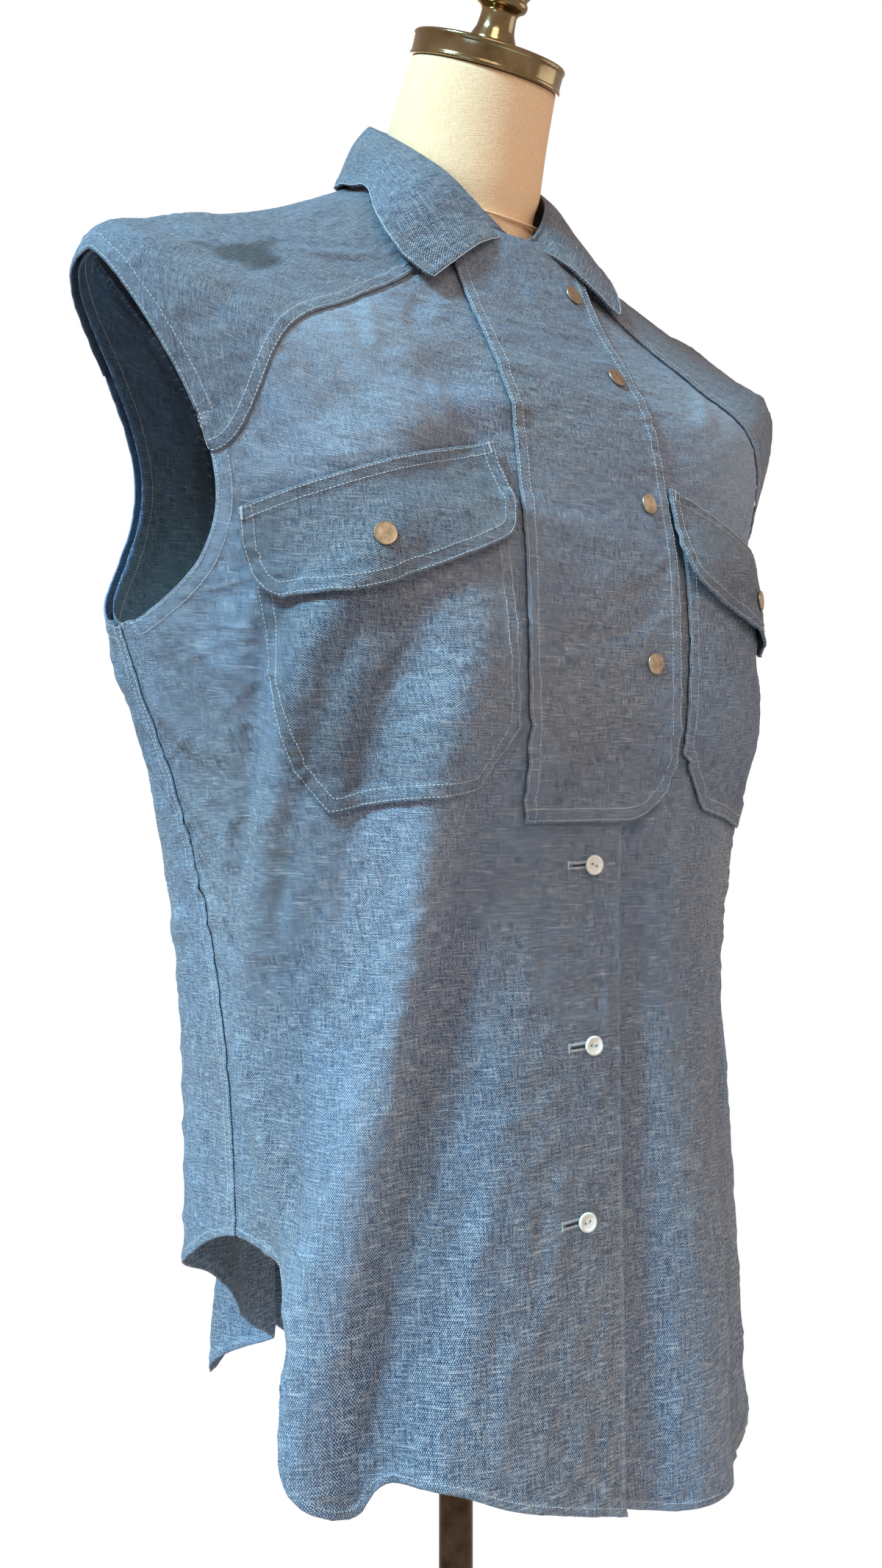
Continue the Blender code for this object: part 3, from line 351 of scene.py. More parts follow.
def u_at(x, s):
    """The u of the points of rings s at x on the front."""
    x, s = np.broadcast_arrays(np.asarray(x, float), np.asarray(s, float))
    low, high = np.full(s.shape, -0.5), np.full(s.shape, 0.5)
    for _ in range(30):
        middle = (low + high) / 2
        left = bare(middle, s)[..., 0] < x
        low, high = np.where(left, middle, low), np.where(left, high, middle)
    return (low + high) / 2


# ---------------------------------------------------------------- outlines, in (u, s)

ARMHOLE_MIDDLE, ARMHOLE_HALF_HEIGHT = 5.0, 1.0
ARMHOLE_FRONT, ARMHOLE_BACK = 0.165, 0.235  # half widths in u
YOKE_FRONT_TURN, YOKE_BACK_TURN = 0.266, 0.66  # where the yoke's seams meet the armhole
SEAM_POWER = 1.15
SEAM_TOP = 0.89  # where along the front yoke seam the yoke's short end begins
YOKE_NECK_U = 0.170
YOKE_BACK_DIP = 0.55
VENT_S = 1.03  # hem at the side seams
FRONT_HEM = (  # how far round from the middle, and s, from the vent to the wearer's left of the middle
    (0.500, 1.030), (0.475, 1.030), (0.446, 1.018), (0.418, 1.003), (0.392, 0.978), (0.372, 0.940),
    (0.360, 0.890), (0.354, 0.830), (0.353, 0.760), (0.358, 0.690), (0.363, 0.610), (0.366, 0.530),
    (0.365, 0.460), (0.356, 0.400), (0.340, 0.340), (0.316, 0.292), (0.303, 0.300), (0.293, 0.345),
    (0.282, 0.395), (0.262, 0.412), (0.244, 0.408), (0.214, 0.398), (0.184, 0.362), (0.150, 0.305),
    (0.086, 0.230), (0.020, 0.150), (-0.040, 0.070),
)
LEFT_HEM = (  # the same on the wearer's left
    (0.500, 1.030), (0.475, 1.030), (0.448, 1.015), (0.425, 0.985), (0.406, 0.935), (0.394, 0.870),
    (0.388, 0.790), (0.385, 0.700), (0.383, 0.600), (0.381, 0.500), (0.377, 0.380), (0.370, 0.280),
    (0.355, 0.190), (0.330, 0.120), (0.300, 0.070), (0.260, 0.035), (0.220, 0.015), (0.170, 0.000),
    (0.128, 0.005), (0.080, 0.040), (0.042, 0.080), (0.000, 0.150), (-0.060, 0.240),
)
BACK_HEM = (  # how far round from the middle of the back, and s
    (0.000, 0.200), (0.070, 0.160), (0.086, 0.170), (0.098, 0.300), (0.150, 0.460), (0.200, 0.620),
    (0.250, 0.730), (0.320, 0.810), (0.380, 0.890), (0.420, 0.955), (0.458, 1.000), (0.500, 1.030),
)
FLUTE_DROP = 0.050  # how far, in s, the hem hangs down at the flute
FLUTE_RISES = (0.220, 0.035)  # and how far it is drawn up on its far side and on its near side
FLUTE_REACHES = (0.030, 0.026)  # how far from the flute, in u
PLACKET_HIGH, PLACKET_LOW = 0.020, 0.008  # x of the right front's free edge at the chest and at the hem
UNDERLAP = -0.022  # x of the left front's edge, under the right front


def armhole(side, turn, size=1.0):
    """Points of the armhole's edge; turn 0 is the underarm, 0.25 the front, 0.5 the shoulder's tip."""
    turn, size = np.broadcast_arrays(np.asarray(turn, float), np.asarray(size, float))
    sine, cosine = np.sin(2 * np.pi * turn), np.cos(2 * np.pi * turn)
    width = np.where(sine > 0, ARMHOLE_FRONT, ARMHOLE_BACK)
    u, s = side * (0.5 - size * width * sine), ARMHOLE_MIDDLE - size * ARMHOLE_HALF_HEIGHT * cosine
    return np.stack((u, s), -1)


def front_yoke_seam(side, t):
    """From the armhole (t = 0) up to the neckline (t = 1), a little flatter than a quarter of an ellipse."""
    t = np.asarray(t, float)
    u_arm, s_arm = armhole(side, YOKE_FRONT_TURN)
    across, up = np.sin(np.pi / 2 * t) ** SEAM_POWER, np.cos(np.pi / 2 * t) ** SEAM_POWER
    return np.stack((blend(u_arm, side * YOKE_NECK_U, across), blend(s_arm, NECKLINE, 1 - up)), -1)


def back_yoke_seam(t):
    """From the left armhole (t = 0) across the back to the right one (t = 1)."""
    u_left, s_arm = armhole(1, YOKE_BACK_TURN)
    u_right = 2 + armhole(-1, YOKE_BACK_TURN)[0]
    return np.stack((blend(u_left, u_right, t), s_arm + YOKE_BACK_DIP * np.sin(np.pi * t) ** 1.5), -1)


def back_hem(u):
    """u runs from 0.5 to 1.5."""
    fine = np.linspace(-0.5, 0.5, 201)
    s = evened(np.interp(np.abs(fine), *np.array(BACK_HEM).T)[:, None], 2)[:, 0]
    near = u > FLUTE_U
    away = np.abs(u - FLUTE_U) / np.where(near, FLUTE_REACHES[1], FLUTE_REACHES[0])
    rise = np.where(near, FLUTE_RISES[1], FLUTE_RISES[0])
    fall = blend(-FLUTE_DROP, rise, np.minimum(away, 1.0)) * smooth((2.6 - away) / 1.6)
    return np.interp(u - 1.0, fine, s) + fall


def placket_x(s):
    return blend(PLACKET_LOW, PLACKET_HIGH, np.minimum(s / 3.0, 1.0))


FINE, FINE_BAND = 0.0011, 0.009  # spacing of a grid's lines near a stitched edge, and how far that reaches


def spaced(length, step, start=False, end=False):
    """Shares of a length from 0 to 1, a step apart, and closer together near the ends that ask for it."""
    places = [0.0]
    while places[-1] < length - FINE / 2:
        place = places[-1]
        near = min(place if start else length, length - place if end else length)
        places.append(place + min(max(FINE + (near - FINE_BAND) * 0.35, FINE), step))
    return np.array(places) / places[-1]


def patch(bottom, top, left, right, across, climb):
    """A grid of (u, s) between four edges, its columns and rows at the shares across and climb."""
    p, q = across[None, :, None], climb[:, None, None]
    return (
        (1 - q) * bottom[None] + q * top[None] + (1 - p) * left[:, None] + p * right[:, None]
        - (1 - p) * (1 - q) * bottom[0] - p * (1 - q) * bottom[-1] - (1 - p) * q * top[0] - p * q * top[-1]
    )


# ---------------------------------------------------------------- cloth

CHAIN_STEP = 0.0009  # between the points of a chain that stands for an edge
ROW_STEP, RIM_STEP = 0.0015, 0.0007  # between the points of a line of stitches
CLEARANCE = 0.98  # the share of its distance that a row keeps from the side where it stops
FLIPPED = [0, 3, 2, 1]


def run_along(points):
    """How far along an open line each of its points is."""
    return np.concatenate(([0.0], np.cumsum(np.linalg.norm(np.diff(points, axis=0), axis=1))))


def sampled(values, along, places):
    """The values of a line's points, at other places along it."""
    return np.stack([np.interp(places, along, column) for column in values.T], -1)


def resampled(points, step):
    """Points along the same open line, about a step apart."""
    along = run_along(points)
    return sampled(points, along, np.linspace(0, along[-1], max(2, int(along[-1] / step) + 1)))


def evened(values, reach):
    """Each row of values as the mean of those up to reach away along the line."""
    padded = np.pad(values, ((reach, reach), (0, 0)), mode="edge")
    return np.stack([np.convolve(c, np.ones(2 * reach + 1) / (2 * reach + 1), "valid") for c in padded.T], -1)


def nearest(points, chain):
    """For each point the number of the nearest one of a chain of points, and its distance."""
    tree = KDTree(len(chain))
    for k, point in enumerate(chain):
        tree.insert(point, k)
    tree.balance()
    found = np.array([tree.find(point)[1:] for point in points.reshape(-1, 3)])
    return found.T.reshape(2, *points.shape[:-1])


def numbered(rows, columns, ring=False):
    """The numbers of a grid's points, row by row; a ring comes round to its first column again."""
    index = np.arange(rows * columns).reshape(rows, columns)
    return np.concatenate((index, index[:, :1]), 1) if ring else index


def quads(index):
    """The faces between the points of a grid."""
    return np.stack((index[:-1, :-1], index[:-1, 1:], index[1:, 1:], index[1:, :-1]), -1).reshape(-1, 4)


def mesh_of(name, points, faces):
    mesh = bpy.data.meshes.new(name)
    mesh.from_pydata(np.asarray(points).tolist(), [], faces)
    mesh.shade_smooth()
    return mesh


def add(name, mesh, slot, node=None, finish=None):
    """A piece on the one body, in its slot's finish or its own, that stands for a node where one is given."""
    made = bpy.data.objects.new(name, mesh)
    bpy.context.scene.collection.objects.link(made)
    mesh.materials.clear()
    mesh.materials.append(finish or finish_of(slot))
    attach(made, "root")
    if node:
        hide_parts(node)
    return made


SIDES = {"bottom": (0, 0), "top": (0, -1), "left": (1, 0), "right": (1, -1)}  # the axis and its end
WHOLE = slice(None)
EDGE_ROUND = 0.00035  # how far a sheet's faces draw in at its edges
PUCKER = 0.00040
SUNK = 0.0007  # how deep a strip lies under the panel that laps over it


class Cloth:
    """A sheet of cloth: a grid of points with their outward directions, rows from bottom to top."""

    def __init__(self, name, points, normals, grain, ring=False):
        self.name, self.points, self.normals, self.grain, self.ring = name, points, normals, grain, ring
        self.wear_and_highlight, self.painted_shade_and_darkening = np.zeros((2, *points.shape[:2]))
        self.inner_shade_blue = 0.0  # how much darker in red and bluer its inner face is painted, for the shade inside the shirt
        self.tree = None
        self.thread = Thread(name + "_stitches")

    def side(self, name, part=WHOLE):
        """The points of one side, and the grid's next line in from it."""
        axis, end = SIDES[name]
        lines = [np.take(self.points, k, axis) for k in (end, -2 if end else 1)]
        return [(np.concatenate((line, line[:1])) if self.ring else line)[part] for line in lines]

    def distance(self, side, part=WHOLE):
        """For each point how far along a side its nearest place is, and how far away."""
        number, distance = nearest(self.points, resampled(self.side(side, part)[0], CHAIN_STEP))
        return number * CHAIN_STEP, distance

    def lift(self, height):
        """Moves the points out by an array of heights."""
        self.points = self.points + self.normals * height[..., None]

    def sink(self, side, width, part=WHOLE):
        """Presses a strip beside a side down, where another panel laps over it."""
        self.lift(-SUNK * smooth((width - self.distance(side, part)[1]) / 0.0022))

    def turned_edge(self, side, width, height, part=WHOLE):
        """The turned-in allowance makes a low step at width from the edge, and the seam puckers a little."""
        along, distance = self.distance(side, part)
        phase = along / 0.0115 + 0.9 * np.sin(along / 0.023 + len(self.name)) + 0.6 * np.sin(along / 0.0091)
        wave = np.sin(2 * np.pi * phase)
        ripple = PUCKER * wave * bump((distance - width * 0.6) / (2.4 * width))
        ripple = ripple * (0.65 + 0.35 * np.sin(along / 0.037 + 2.0))
        self.lift(height * smooth((width + 0.0012 - distance) / 0.0024) + ripple)
        worn = np.exp(-((distance / 0.0020) ** 2)) + 0.6 * np.exp(-(((distance - width) / 0.0015) ** 2))
        allowance = 0.28 * smooth((width - distance) / 0.003)
        self.wear_and_highlight = np.maximum.reduce((self.wear_and_highlight, worn * (0.7 + 0.3 * wave), allowance))

    def index(self):
        return numbered(*self.points.shape[:2], self.ring)

    def onto(self, points):
        """The nearest places on the outer face, and its outward directions there."""
        if not self.tree:
            faces = quads(self.index()).tolist()
            self.tree = BVHTree.FromPolygons(self.points.reshape(-1, 3).tolist(), faces)
            middle = tuple(n // 2 for n in self.points.shape[:2])
            normal = self.tree.find_nearest(self.points[middle])[1]
            self.facing = np.sign(np.array(normal) @ self.normals[middle])
        found = [[vector[:] for vector in self.tree.find_nearest(point)[:2]] for point in points]
        found = np.array(found).reshape(-1, 2, 3)
        return found[:, 0], found[:, 1] * self.facing

    def row(self, side, distance, part=WHOLE, clear=None):
        """The line at a distance from a side, as points and normals; it stops short of the side clear."""
        edge, inside = self.side(side, part)
        along = run_along(edge)
        places = np.linspace(0, along[-1], max(2, int(along[-1] / ROW_STEP)))
        edge, inside = sampled(edge, along, places), sampled(inside, along, places)
        tangent = unit(np.gradient(edge, axis=0))
        inward = inside - edge
        inward = unit(inward - tangent * np.sum(inward * tangent, 1, keepdims=True))
        wanted = evened(edge, 2) + unit(evened(inward, 8)) * distance
        if clear:
            chain = resampled(self.side(clear)[0], CHAIN_STEP)
            wanted = wanted[nearest(wanted, chain)[1] > distance * CLEARANCE]
        return self.onto(wanted)

    def rim(self, sides, distance):
        """The line at a distance inside a chain of sides, which go bottom, right, top, left round the cloth.

        Its start faces as the start of the chain does.
        """
        def walked(x):
            round_it = {"bottom": x[0], "right": x[:, -1], "top": x[-1, ::-1], "left": x[::-1, 0]}
            return joined(*(round_it[side] for side in sides))

        edge, normals = walked(self.points), walked(self.normals)
        along = run_along(edge)
        places = np.linspace(0, along[-1], int(along[-1] / RIM_STEP))
        edge, normals = sampled(edge, along, places), sampled(normals, along, places)
        wanted = edge + unit(np.cross(normals, np.gradient(edge, axis=0))) * distance
        points, facing_out = self.onto(wanted[nearest(wanted, edge)[1] > distance * 0.985])
        return points, facing_out * np.sign(facing_out[0] @ normals[0])

    def sew(self, side, distances, part=WHOLE, clear=None):
        """Rows of stitches at distances from a side."""
        for distance in distances:
            self.thread.row(*self.row(side, distance, part, clear))

    def sew_round(self, sides, distances):
        """Rows of stitches at distances inside a chain of sides."""
        for distance in distances:
            self.thread.row(*self.rim(sides, distance))

    def mesh(self, thickness):
        """The closed wall of the sheet as a Blender mesh, with its grain, its wear and painted highlight, its
        painted shade and darker patches, and the painted shade blue of its inner face.
        """
        near = np.zeros(self.points.shape[:2])
        near[[0, -1]] = EDGE_ROUND
        if not self.ring:
            near[:, [0, -1]] = EDGE_ROUND
        outer = self.points - self.normals * near[..., None]
        inner = self.points - self.normals * (thickness - near)[..., None]
        index = self.index()
        under = index + near.size
        faces = [
            quads(index), quads(under)[:, FLIPPED],
            quads(np.stack((index[0], under[0])))[:, FLIPPED], quads(np.stack((index[-1], under[-1]))),
        ]
        if not self.ring:
            faces.append(quads(np.stack((index[:, 0], under[:, 0]))))
            faces.append(quads(np.stack((index[:, -1], under[:, -1])))[:, FLIPPED])
        points = np.concatenate((outer.reshape(-1, 3), inner.reshape(-1, 3)))
        mesh = mesh_of(self.name, points, np.concatenate(faces).tolist())
        corner = np.empty(len(mesh.loops), dtype=np.int32)
        mesh.loops.foreach_get("vertex_index", corner)
        grain = np.concatenate((self.grain.reshape(-1, 2),) * 2)
        mesh.uv_layers.new(name="grain").data.foreach_set("uv", grain[corner].ravel())
        inner_shade_blue = np.broadcast_to(self.inner_shade_blue, near.shape)
        layers = {"wear_and_highlight": [self.wear_and_highlight] * 2, "painted_shade_and_darkening": [self.painted_shade_and_darkening] * 2, "inner_shade_blue": [0 * inner_shade_blue, inner_shade_blue]}
        for name, layer in layers.items():
            mesh.attributes.new(name, "FLOAT", "POINT").data.foreach_set("value", np.array(layer).ravel())
        return mesh

    def finished(self, node, flat, area, held="hung", thickness=0.0012, rests_on=("form_canvas",)):
        """Turns the sheet and its stitches into pieces."""
        made = add(self.name, self.mesh(thickness), "chambray", node)
        stitches = [self.thread.object()]


def grain_of(uv, turned=0.0, shift=(0.0, 0.0)):
    """Where each point lies on the flat cloth, in metres, the warp upright unless turned."""
    x, y = uv[..., 0] * FLAT_U, uv[..., 1] * FLAT_S
    cosine, sine = math.cos(turned), math.sin(turned)
    return np.stack((x * cosine - y * sine + shift[0], x * sine + y * cosine + shift[1]), -1)


def painted_highlight(u, s):
    """How much paler the cloth is painted on the ridges of its folds and creases and at the top of the chest:
    a painted highlight.
    """
    chest = 1.4 * bump((np.abs(beside(u)) - 0.225) / 0.15) * bump((s - 6.2) / 1.6)
    folds = 0.42 * smooth(fold_height(u, s) / 0.014) * smooth((4.2 - s) / 1.2)
    return chest + folds + 0.25 * smooth(crease_height(u, s) / 0.0014)


def painted_shade(u, s):
    """How much darker the cloth is painted in its hollows, under the arms, in front and beside the right
    bust: painted shade.
    """
    from_side = np.abs(np.abs(beside(u)) - 0.5)
    under_arm = 0.45 * smooth((s - 2.4) / 0.8) * smooth((0.16 - from_side) / 0.06)
    bust_line = -0.25 - 0.15 * (4.6 - s) / 3.4
    beside_the_bust = 0.5 * bump((u - bust_line) / 0.10) * bump((s - 2.6) / 2.2)
    middle = 0.34 * smooth((0.24 - np.abs(u)) / 0.10) * bump((s - 2.2) / 1.9)
    hollow = 0.34 * smooth(-fold_height(u, s) / 0.009)
    return np.maximum.reduce((hollow, beside_the_bust, middle, under_arm))


def cloth_of(name, uv, out=0.0, turned=0.0, shift=(0.0, 0.0), ring=False):
    """A sheet that lies on the form; out is how far its outer face is from it."""
    u, s = uv[..., 0], uv[..., 1]
    made = Cloth(name, *skin(u, s, out), grain_of(uv, turned, shift), ring)
    # a painted highlight on the chest and the ridges of folds, and painted shade in its hollows, under the
    # arms and in front
    made.uv, made.wear_and_highlight, made.painted_shade_and_darkening = uv, painted_highlight(u, s), painted_shade(u, s)
    return made


INNER_SHADE_SHARE = 0.9  # how much bluer and darker in red the inner faces are painted, as painted shade inside the shirt


def inner_shade_above_vents(s):
    """The body's inner face is painted in the blue of shade above its vents."""
    return INNER_SHADE_SHARE * smooth((s - 1.2) / 0.8)


# ---------------------------------------------------------------- stitches

STITCH_LENGTH, STITCH_GAP, STITCH_WIDTH = 0.0018, 0.0005, 0.00047
STITCH_RINGS = ((0.12, 0.75), (0.5, 1.0), (0.88, 0.75))  # share of its length, share of its width
BAR_STEP, BAR_WIDTH = 0.00042, 0.00045


class Thread:
    """Stitches that are joined into one piece."""

    def __init__(self, name):
        self.name, self.points, self.faces = name, [], []

    def stitch(self, start, end, normal, width=STITCH_WIDTH, rise=0.9):
        """One short length of thread from start to end that bows out of the cloth."""
        along = end - start
        aside = unit(np.cross(normal, along))
        first = len(self.points)
        self.points.append(start - normal * width * 0.3)
        for t, share in STITCH_RINGS:
            middle = start + along * t + normal * width * (rise * 0.55 * share - 0.12)
            half = width / 2 * share
            self.points += [middle - aside * half, middle + normal * half * rise]
            self.points += [middle + aside * half, middle - normal * half]
        self.points.append(end - normal * width * 0.3)
        for k, n in ((0, 1), (1, 2), (2, 3), (3, 0)):
            corners = [(0, 1 + n, 1 + k)] + [(r + k, r + n, r + 4 + n, r + 4 + k) for r in (1, 5)]
            self.faces += [[first + i for i in face] for face in corners + [(13, 9 + k, 9 + n)]]

    def row(self, points, normals):
        """Stitches end to end along a line on the cloth."""
        if len(points) < 2:
            return
        along = run_along(points)
        starts = np.arange(0.0, along[-1] - STITCH_LENGTH, STITCH_LENGTH + STITCH_GAP)
        ends = sampled(points, along, starts + STITCH_LENGTH * rng.uniform(0.93, 1.03, len(starts)))
        middles = unit(sampled(normals, along, starts + STITCH_LENGTH / 2))
        wander = rng.normal(0, STITCH_WIDTH * 0.10, (len(starts), 3))
        starts = sampled(points, along, starts) + wander
        for start, end, normal, off in zip(starts, ends, middles, wander):
            if np.linalg.norm(end - start) < 1.6 * STITCH_LENGTH:
                self.stitch(start, end + off, normal, STITCH_WIDTH * rng.uniform(0.88, 1.1))

    def whip(self, points, normals, reach, spacing, slant):
        """Long slanting hand stitches across an edge, unevenly spaced."""
        along = run_along(points)
        place = 0.0
        while place < along[-1] - slant:
            here, there = sampled(points, along, np.array([place, place + slant]))
            normal = sampled(normals, along, place)
            aside = unit(np.cross(normal, there - here)) * reach * rng.uniform(0.7, 1.2)
            self.stitch(here - aside * 0.5, there + aside * 0.5, normal, rise=0.6)
            place += spacing * rng.uniform(0.7, 1.4)

    def bar(self, middle, along, normal, length, width):
        """A bar tack: close short stitches across a line."""
        along = unit(along)
        aside = np.cross(normal, along)
        for share in np.linspace(-0.5, 0.5, max(3, int(length / BAR_STEP))):
            here = middle + along * length * share
            self.stitch(here - aside * width / 2, here + aside * width / 2, normal, BAR_WIDTH)

    def object(self, finish=None):
        mesh = mesh_of(self.name, self.points, self.faces)
        return add(self.name, mesh, "chambray", finish=finish or thread_finish())


# ---------------------------------------------------------------- materials

class Finish:
    """A material in the making. Its methods add nodes and give their outputs."""

    def __init__(self, name):
        self.made = bpy.data.materials.new(name)
        self.made.use_nodes = True
        self.nodes, self.links = self.made.node_tree.nodes, self.made.node_tree.links

    def give(self, socket, value):
        """Sets a socket from another node's output, a colour, a vector or a number."""
        if isinstance(value, bpy.types.NodeSocket):
            self.links.new(value, socket)
        else:
            socket.default_value = (*value, 1.0) if socket.type == "RGBA" else value

    def node(self, kind, inputs=None, output=0, **settings):
        made = self.nodes.new("ShaderNode" + kind)
        for name, value in settings.items():
            setattr(made, name, value)
        for key, value in (inputs or {}).items():
            self.give(made.inputs[key], value)
        return made.outputs[output]

    def position(self):
        return self.node("NewGeometry", output="Position")

    def noise(self, vector, scale, detail=2.0, roughness=0.55):
        inputs = {"Vector": vector, "Scale": scale, "Detail": detail, "Roughness": roughness}
        return self.node("TexNoise", inputs, "Fac")

    def yarn(self, vector, *scale, detail=2.0, roughness=0.55):
        """Noise drawn out by a scale of its own on each axis."""
        stretched = self.node("Mapping", {"Vector": vector, "Scale": scale})
        return self.noise(stretched, 1.0, detail, roughness)

    def ranged(self, value, low, high, to_low=0.0, to_high=1.0):
        inputs = {"Value": value, "From Min": low, "From Max": high, "To Min": to_low, "To Max": to_high}
        return self.node("MapRange", inputs, "Result")

    def maths(self, kind, a, b=0.0):
        return self.node("Math", {0: a, 1: b}, operation=kind)

    def mixed(self, share, a, b, kind="MIX"):
        """A blend of two colours."""
        return self.node("Mix", {0: share, 6: a, 7: b}, 2, data_type="RGBA", blend_type=kind)

    def tinted(self, share, colour, tint):
        """A share of the colour is multiplied by a tint."""
        return self.mixed(share, colour, self.mixed(1.0, colour, tint, "MULTIPLY"))

    def painted(self, name, strength=1.0):
        """A mesh attribute, times a strength."""
        return self.maths("MULTIPLY", self.node("Attribute", output="Fac", attribute_name=name), strength)

    def relief(self, height, distance, strength=1.0, under=None):
        """A bump's normal; it may lie on another one's."""
        inputs = {"Height": height, "Distance": distance, "Strength": strength}
        return self.node("Bump", {**inputs, "Normal": under} if under else inputs)

    def done(self, colour, roughness, **values):
        """The material; a value's name is its socket's, with _ for a space."""
        shader = self.nodes["Principled BSDF"]
        for name, value in {"Base_Color": colour, "Roughness": roughness, **values}.items():
            self.give(shader.inputs[name.replace("_", " ")], value)
        return self.made


INDIGO = (0.0145, 0.037, 0.086)
CHAMBRAY_BLUE = (0.074, 0.142, 0.250)
SLUB_WHITE = (0.60, 0.65, 0.70)
PALE_WEAR_AND_HIGHLIGHT = (0.36, 0.46, 0.57)
YARN_REPEAT = 0.00112  # two yarns
SWAY = 0.0006  # how far a yarn wanders, in metres


@cache
def chambray():
    """Blue warp and pale weft with slubs, faded unevenly and rubbed paler along its seams, with painted
    highlights on the chest and fold ridges, painted shade in hollows and on some pieces, and inner faces
    painted a darker blue for the shade inside.
    """
    f = Finish("chambray")
    grain = f.node("UVMap", uv_map="grain")
    wander = f.node("TexNoise", {"Vector": grain, "Scale": 420.0}, "Color")
    swayed = f.node("Mix", {0: SWAY, 4: grain, 5: wander}, 1, data_type="VECTOR")
    axes = [f.node("SeparateXYZ", {0: swayed}, k) for k in (0, 1)]
    yarns = [f.maths("SINE", f.maths("MULTIPLY", axis, 2 * math.pi / YARN_REPEAT)) for axis in axes]
    weave = f.maths("MULTIPLY", *yarns)
    warp, weft = f.yarn(grain, 2000, 620, 1), f.yarn(grain, 620, 2000, 1)
    long_warp, long_weft = f.yarn(grain, 1500, 130, 1, detail=1.0), f.yarn(grain, 120, 1500, 1, detail=1.0)
    slub_warp, slub_weft = f.yarn(grain, 900, 45, 1, detail=1.0), f.yarn(grain, 40, 900, 1, detail=1.0)
    crumple = f.yarn(grain, 70, 48, 1, detail=3.0, roughness=0.5)
    mottle = f.noise(grain, 170.0, 4.0, 0.65)
    cloudy, broad = f.noise(grain, 26.0, 3.0), f.noise(grain, 8.0, 2.0)
    colour = f.mixed(f.ranged(warp, 0.40, 0.58), INDIGO, CHAMBRAY_BLUE)
    over = f.maths("ADD", f.maths("MULTIPLY", weave, 0.46), weft)
    for value, low, high, share, yarn in (
        (over, 0.52, 0.84, 1.0, SLUB_WHITE),
        (long_warp, 0.46, 0.30, 0.55, INDIGO), (long_warp, 0.56, 0.74, 0.34, SLUB_WHITE),
        (long_weft, 0.46, 0.30, 0.42, INDIGO), (long_weft, 0.56, 0.74, 0.45, SLUB_WHITE),
        (slub_warp, 0.42, 0.30, 0.26, INDIGO), (slub_weft, 0.60, 0.72, 0.24, SLUB_WHITE),
    ):
        colour = f.mixed(f.ranged(value, low, high, 0.0, share), colour, yarn)
    colour = f.tinted(f.ranged(mottle, 0.65, 0.35), colour, (0.90, 0.91, 0.93))
    colour = f.tinted(f.ranged(broad, 0.35, 0.65), colour, (1.08, 0.96, 0.86))
    colour = f.tinted(f.ranged(cloudy, 0.38, 0.68), colour, (1.10, 1.12, 1.10))
    # paler where the seams are worn, and painted highlights on the chest and on the ridges of folds and
    # creases
    colour = f.mixed(f.painted("wear_and_highlight", 0.30), colour, PALE_WEAR_AND_HIGHLIGHT)
    # painted shade in hollows, under the arms, in front, beside the right bust and on several pieces, and the
    # dark patches of the yoke and collar
    colour = f.tinted(f.painted("painted_shade_and_darkening", 0.64), colour, (0.34, 0.31, 0.28))
    # the inner faces painted darker in red and bluer, for the shade inside the shirt
    colour = f.tinted(f.painted("inner_shade_blue"), colour, (0.60, 0.90, 1.25))
    soft = f.relief(f.maths("ADD", crumple, f.maths("MULTIPLY", cloudy, 1.6)), 0.0026)
    threads = f.maths("ADD", f.maths("ADD", warp, weft), f.maths("MULTIPLY", long_weft, 0.8))
    fine = f.relief(f.maths("ADD", threads, f.maths("MULTIPLY", mottle, 0.7)), 0.00035, 0.9, under=soft)
    return f.done(colour, 0.88, Normal=fine, Specular_IOR_Level=0.22, Sheen_Weight=0.08, Sheen_Roughness=0.5)


@cache
def thread_finish():
    f = Finish("thread")
    tone = f.noise(f.position(), 900.0)
    colour = f.mixed(f.ranged(tone, 0.35, 0.65), (0.46, 0.48, 0.51), (0.76, 0.75, 0.73))
    return f.done(colour, 0.75, Normal=f.relief(tone, 0.0001, 0.6))


@cache
def slit_shade_finish():
    """Near-black painted shade for the open slit of a buttonhole."""
    f = Finish("buttonhole_slit_shade")
    return f.done(f.mixed(f.noise(f.position(), 700.0), (0.010, 0.014, 0.022), (0.035, 0.045, 0.065)), 0.95)


@cache
def canvas():
    """Cream linen canvas with a fine upright weave."""
    f = Finish("canvas")
    place = f.position()
    upright, level = f.yarn(place, 1500, 1500, 110), f.yarn(place, 120, 120, 1500)
    colour = f.mixed(f.ranged(upright, 0.35, 0.65), (0.80, 0.525, 0.305), (0.94, 0.655, 0.405))
    colour = f.mixed(f.ranged(level, 0.42, 0.68, 0.0, 0.45), colour, (0.90, 0.61, 0.365))
    colour = f.mixed(f.ranged(f.noise(place, 14.0, 3.0), 0.4, 0.7, 0.0, 0.35), colour, (0.87, 0.575, 0.335))
    normal = f.relief(f.maths("ADD", upright, level), 0.0003, 0.7)
    return f.done(colour, 0.85, Normal=normal, Specular_IOR_Level=0.2)


@cache
def ivory():
    f = Finish("ivory")
    cloud = f.ranged(f.noise(f.position(), 260.0, 3.0), 0.35, 0.65)
    colour = f.mixed(cloud, (0.76, 0.68, 0.56), (0.88, 0.82, 0.72))
    return f.done(colour, 0.30, Subsurface_Weight=0.15, Subsurface_Scale=0.002)


METALS = {  # dark and bright tones, the roughness of each, and how many patches there are in a metre
    "snap_brass": ((0.33, 0.235, 0.15), (0.51, 0.385, 0.26), 0.52, 0.36, 240.0),
    "antique_brass": ((0.16, 0.115, 0.055), (0.36, 0.275, 0.145), 0.26, 0.12, 40.0),
    "bronzed_steel": ((0.035, 0.018, 0.008), (0.15, 0.11, 0.075), 0.22, 0.10, 30.0),
    "bronzed_iron": ((0.07, 0.04, 0.022), (0.18, 0.11, 0.07), 0.55, 0.30, 22.0),
}


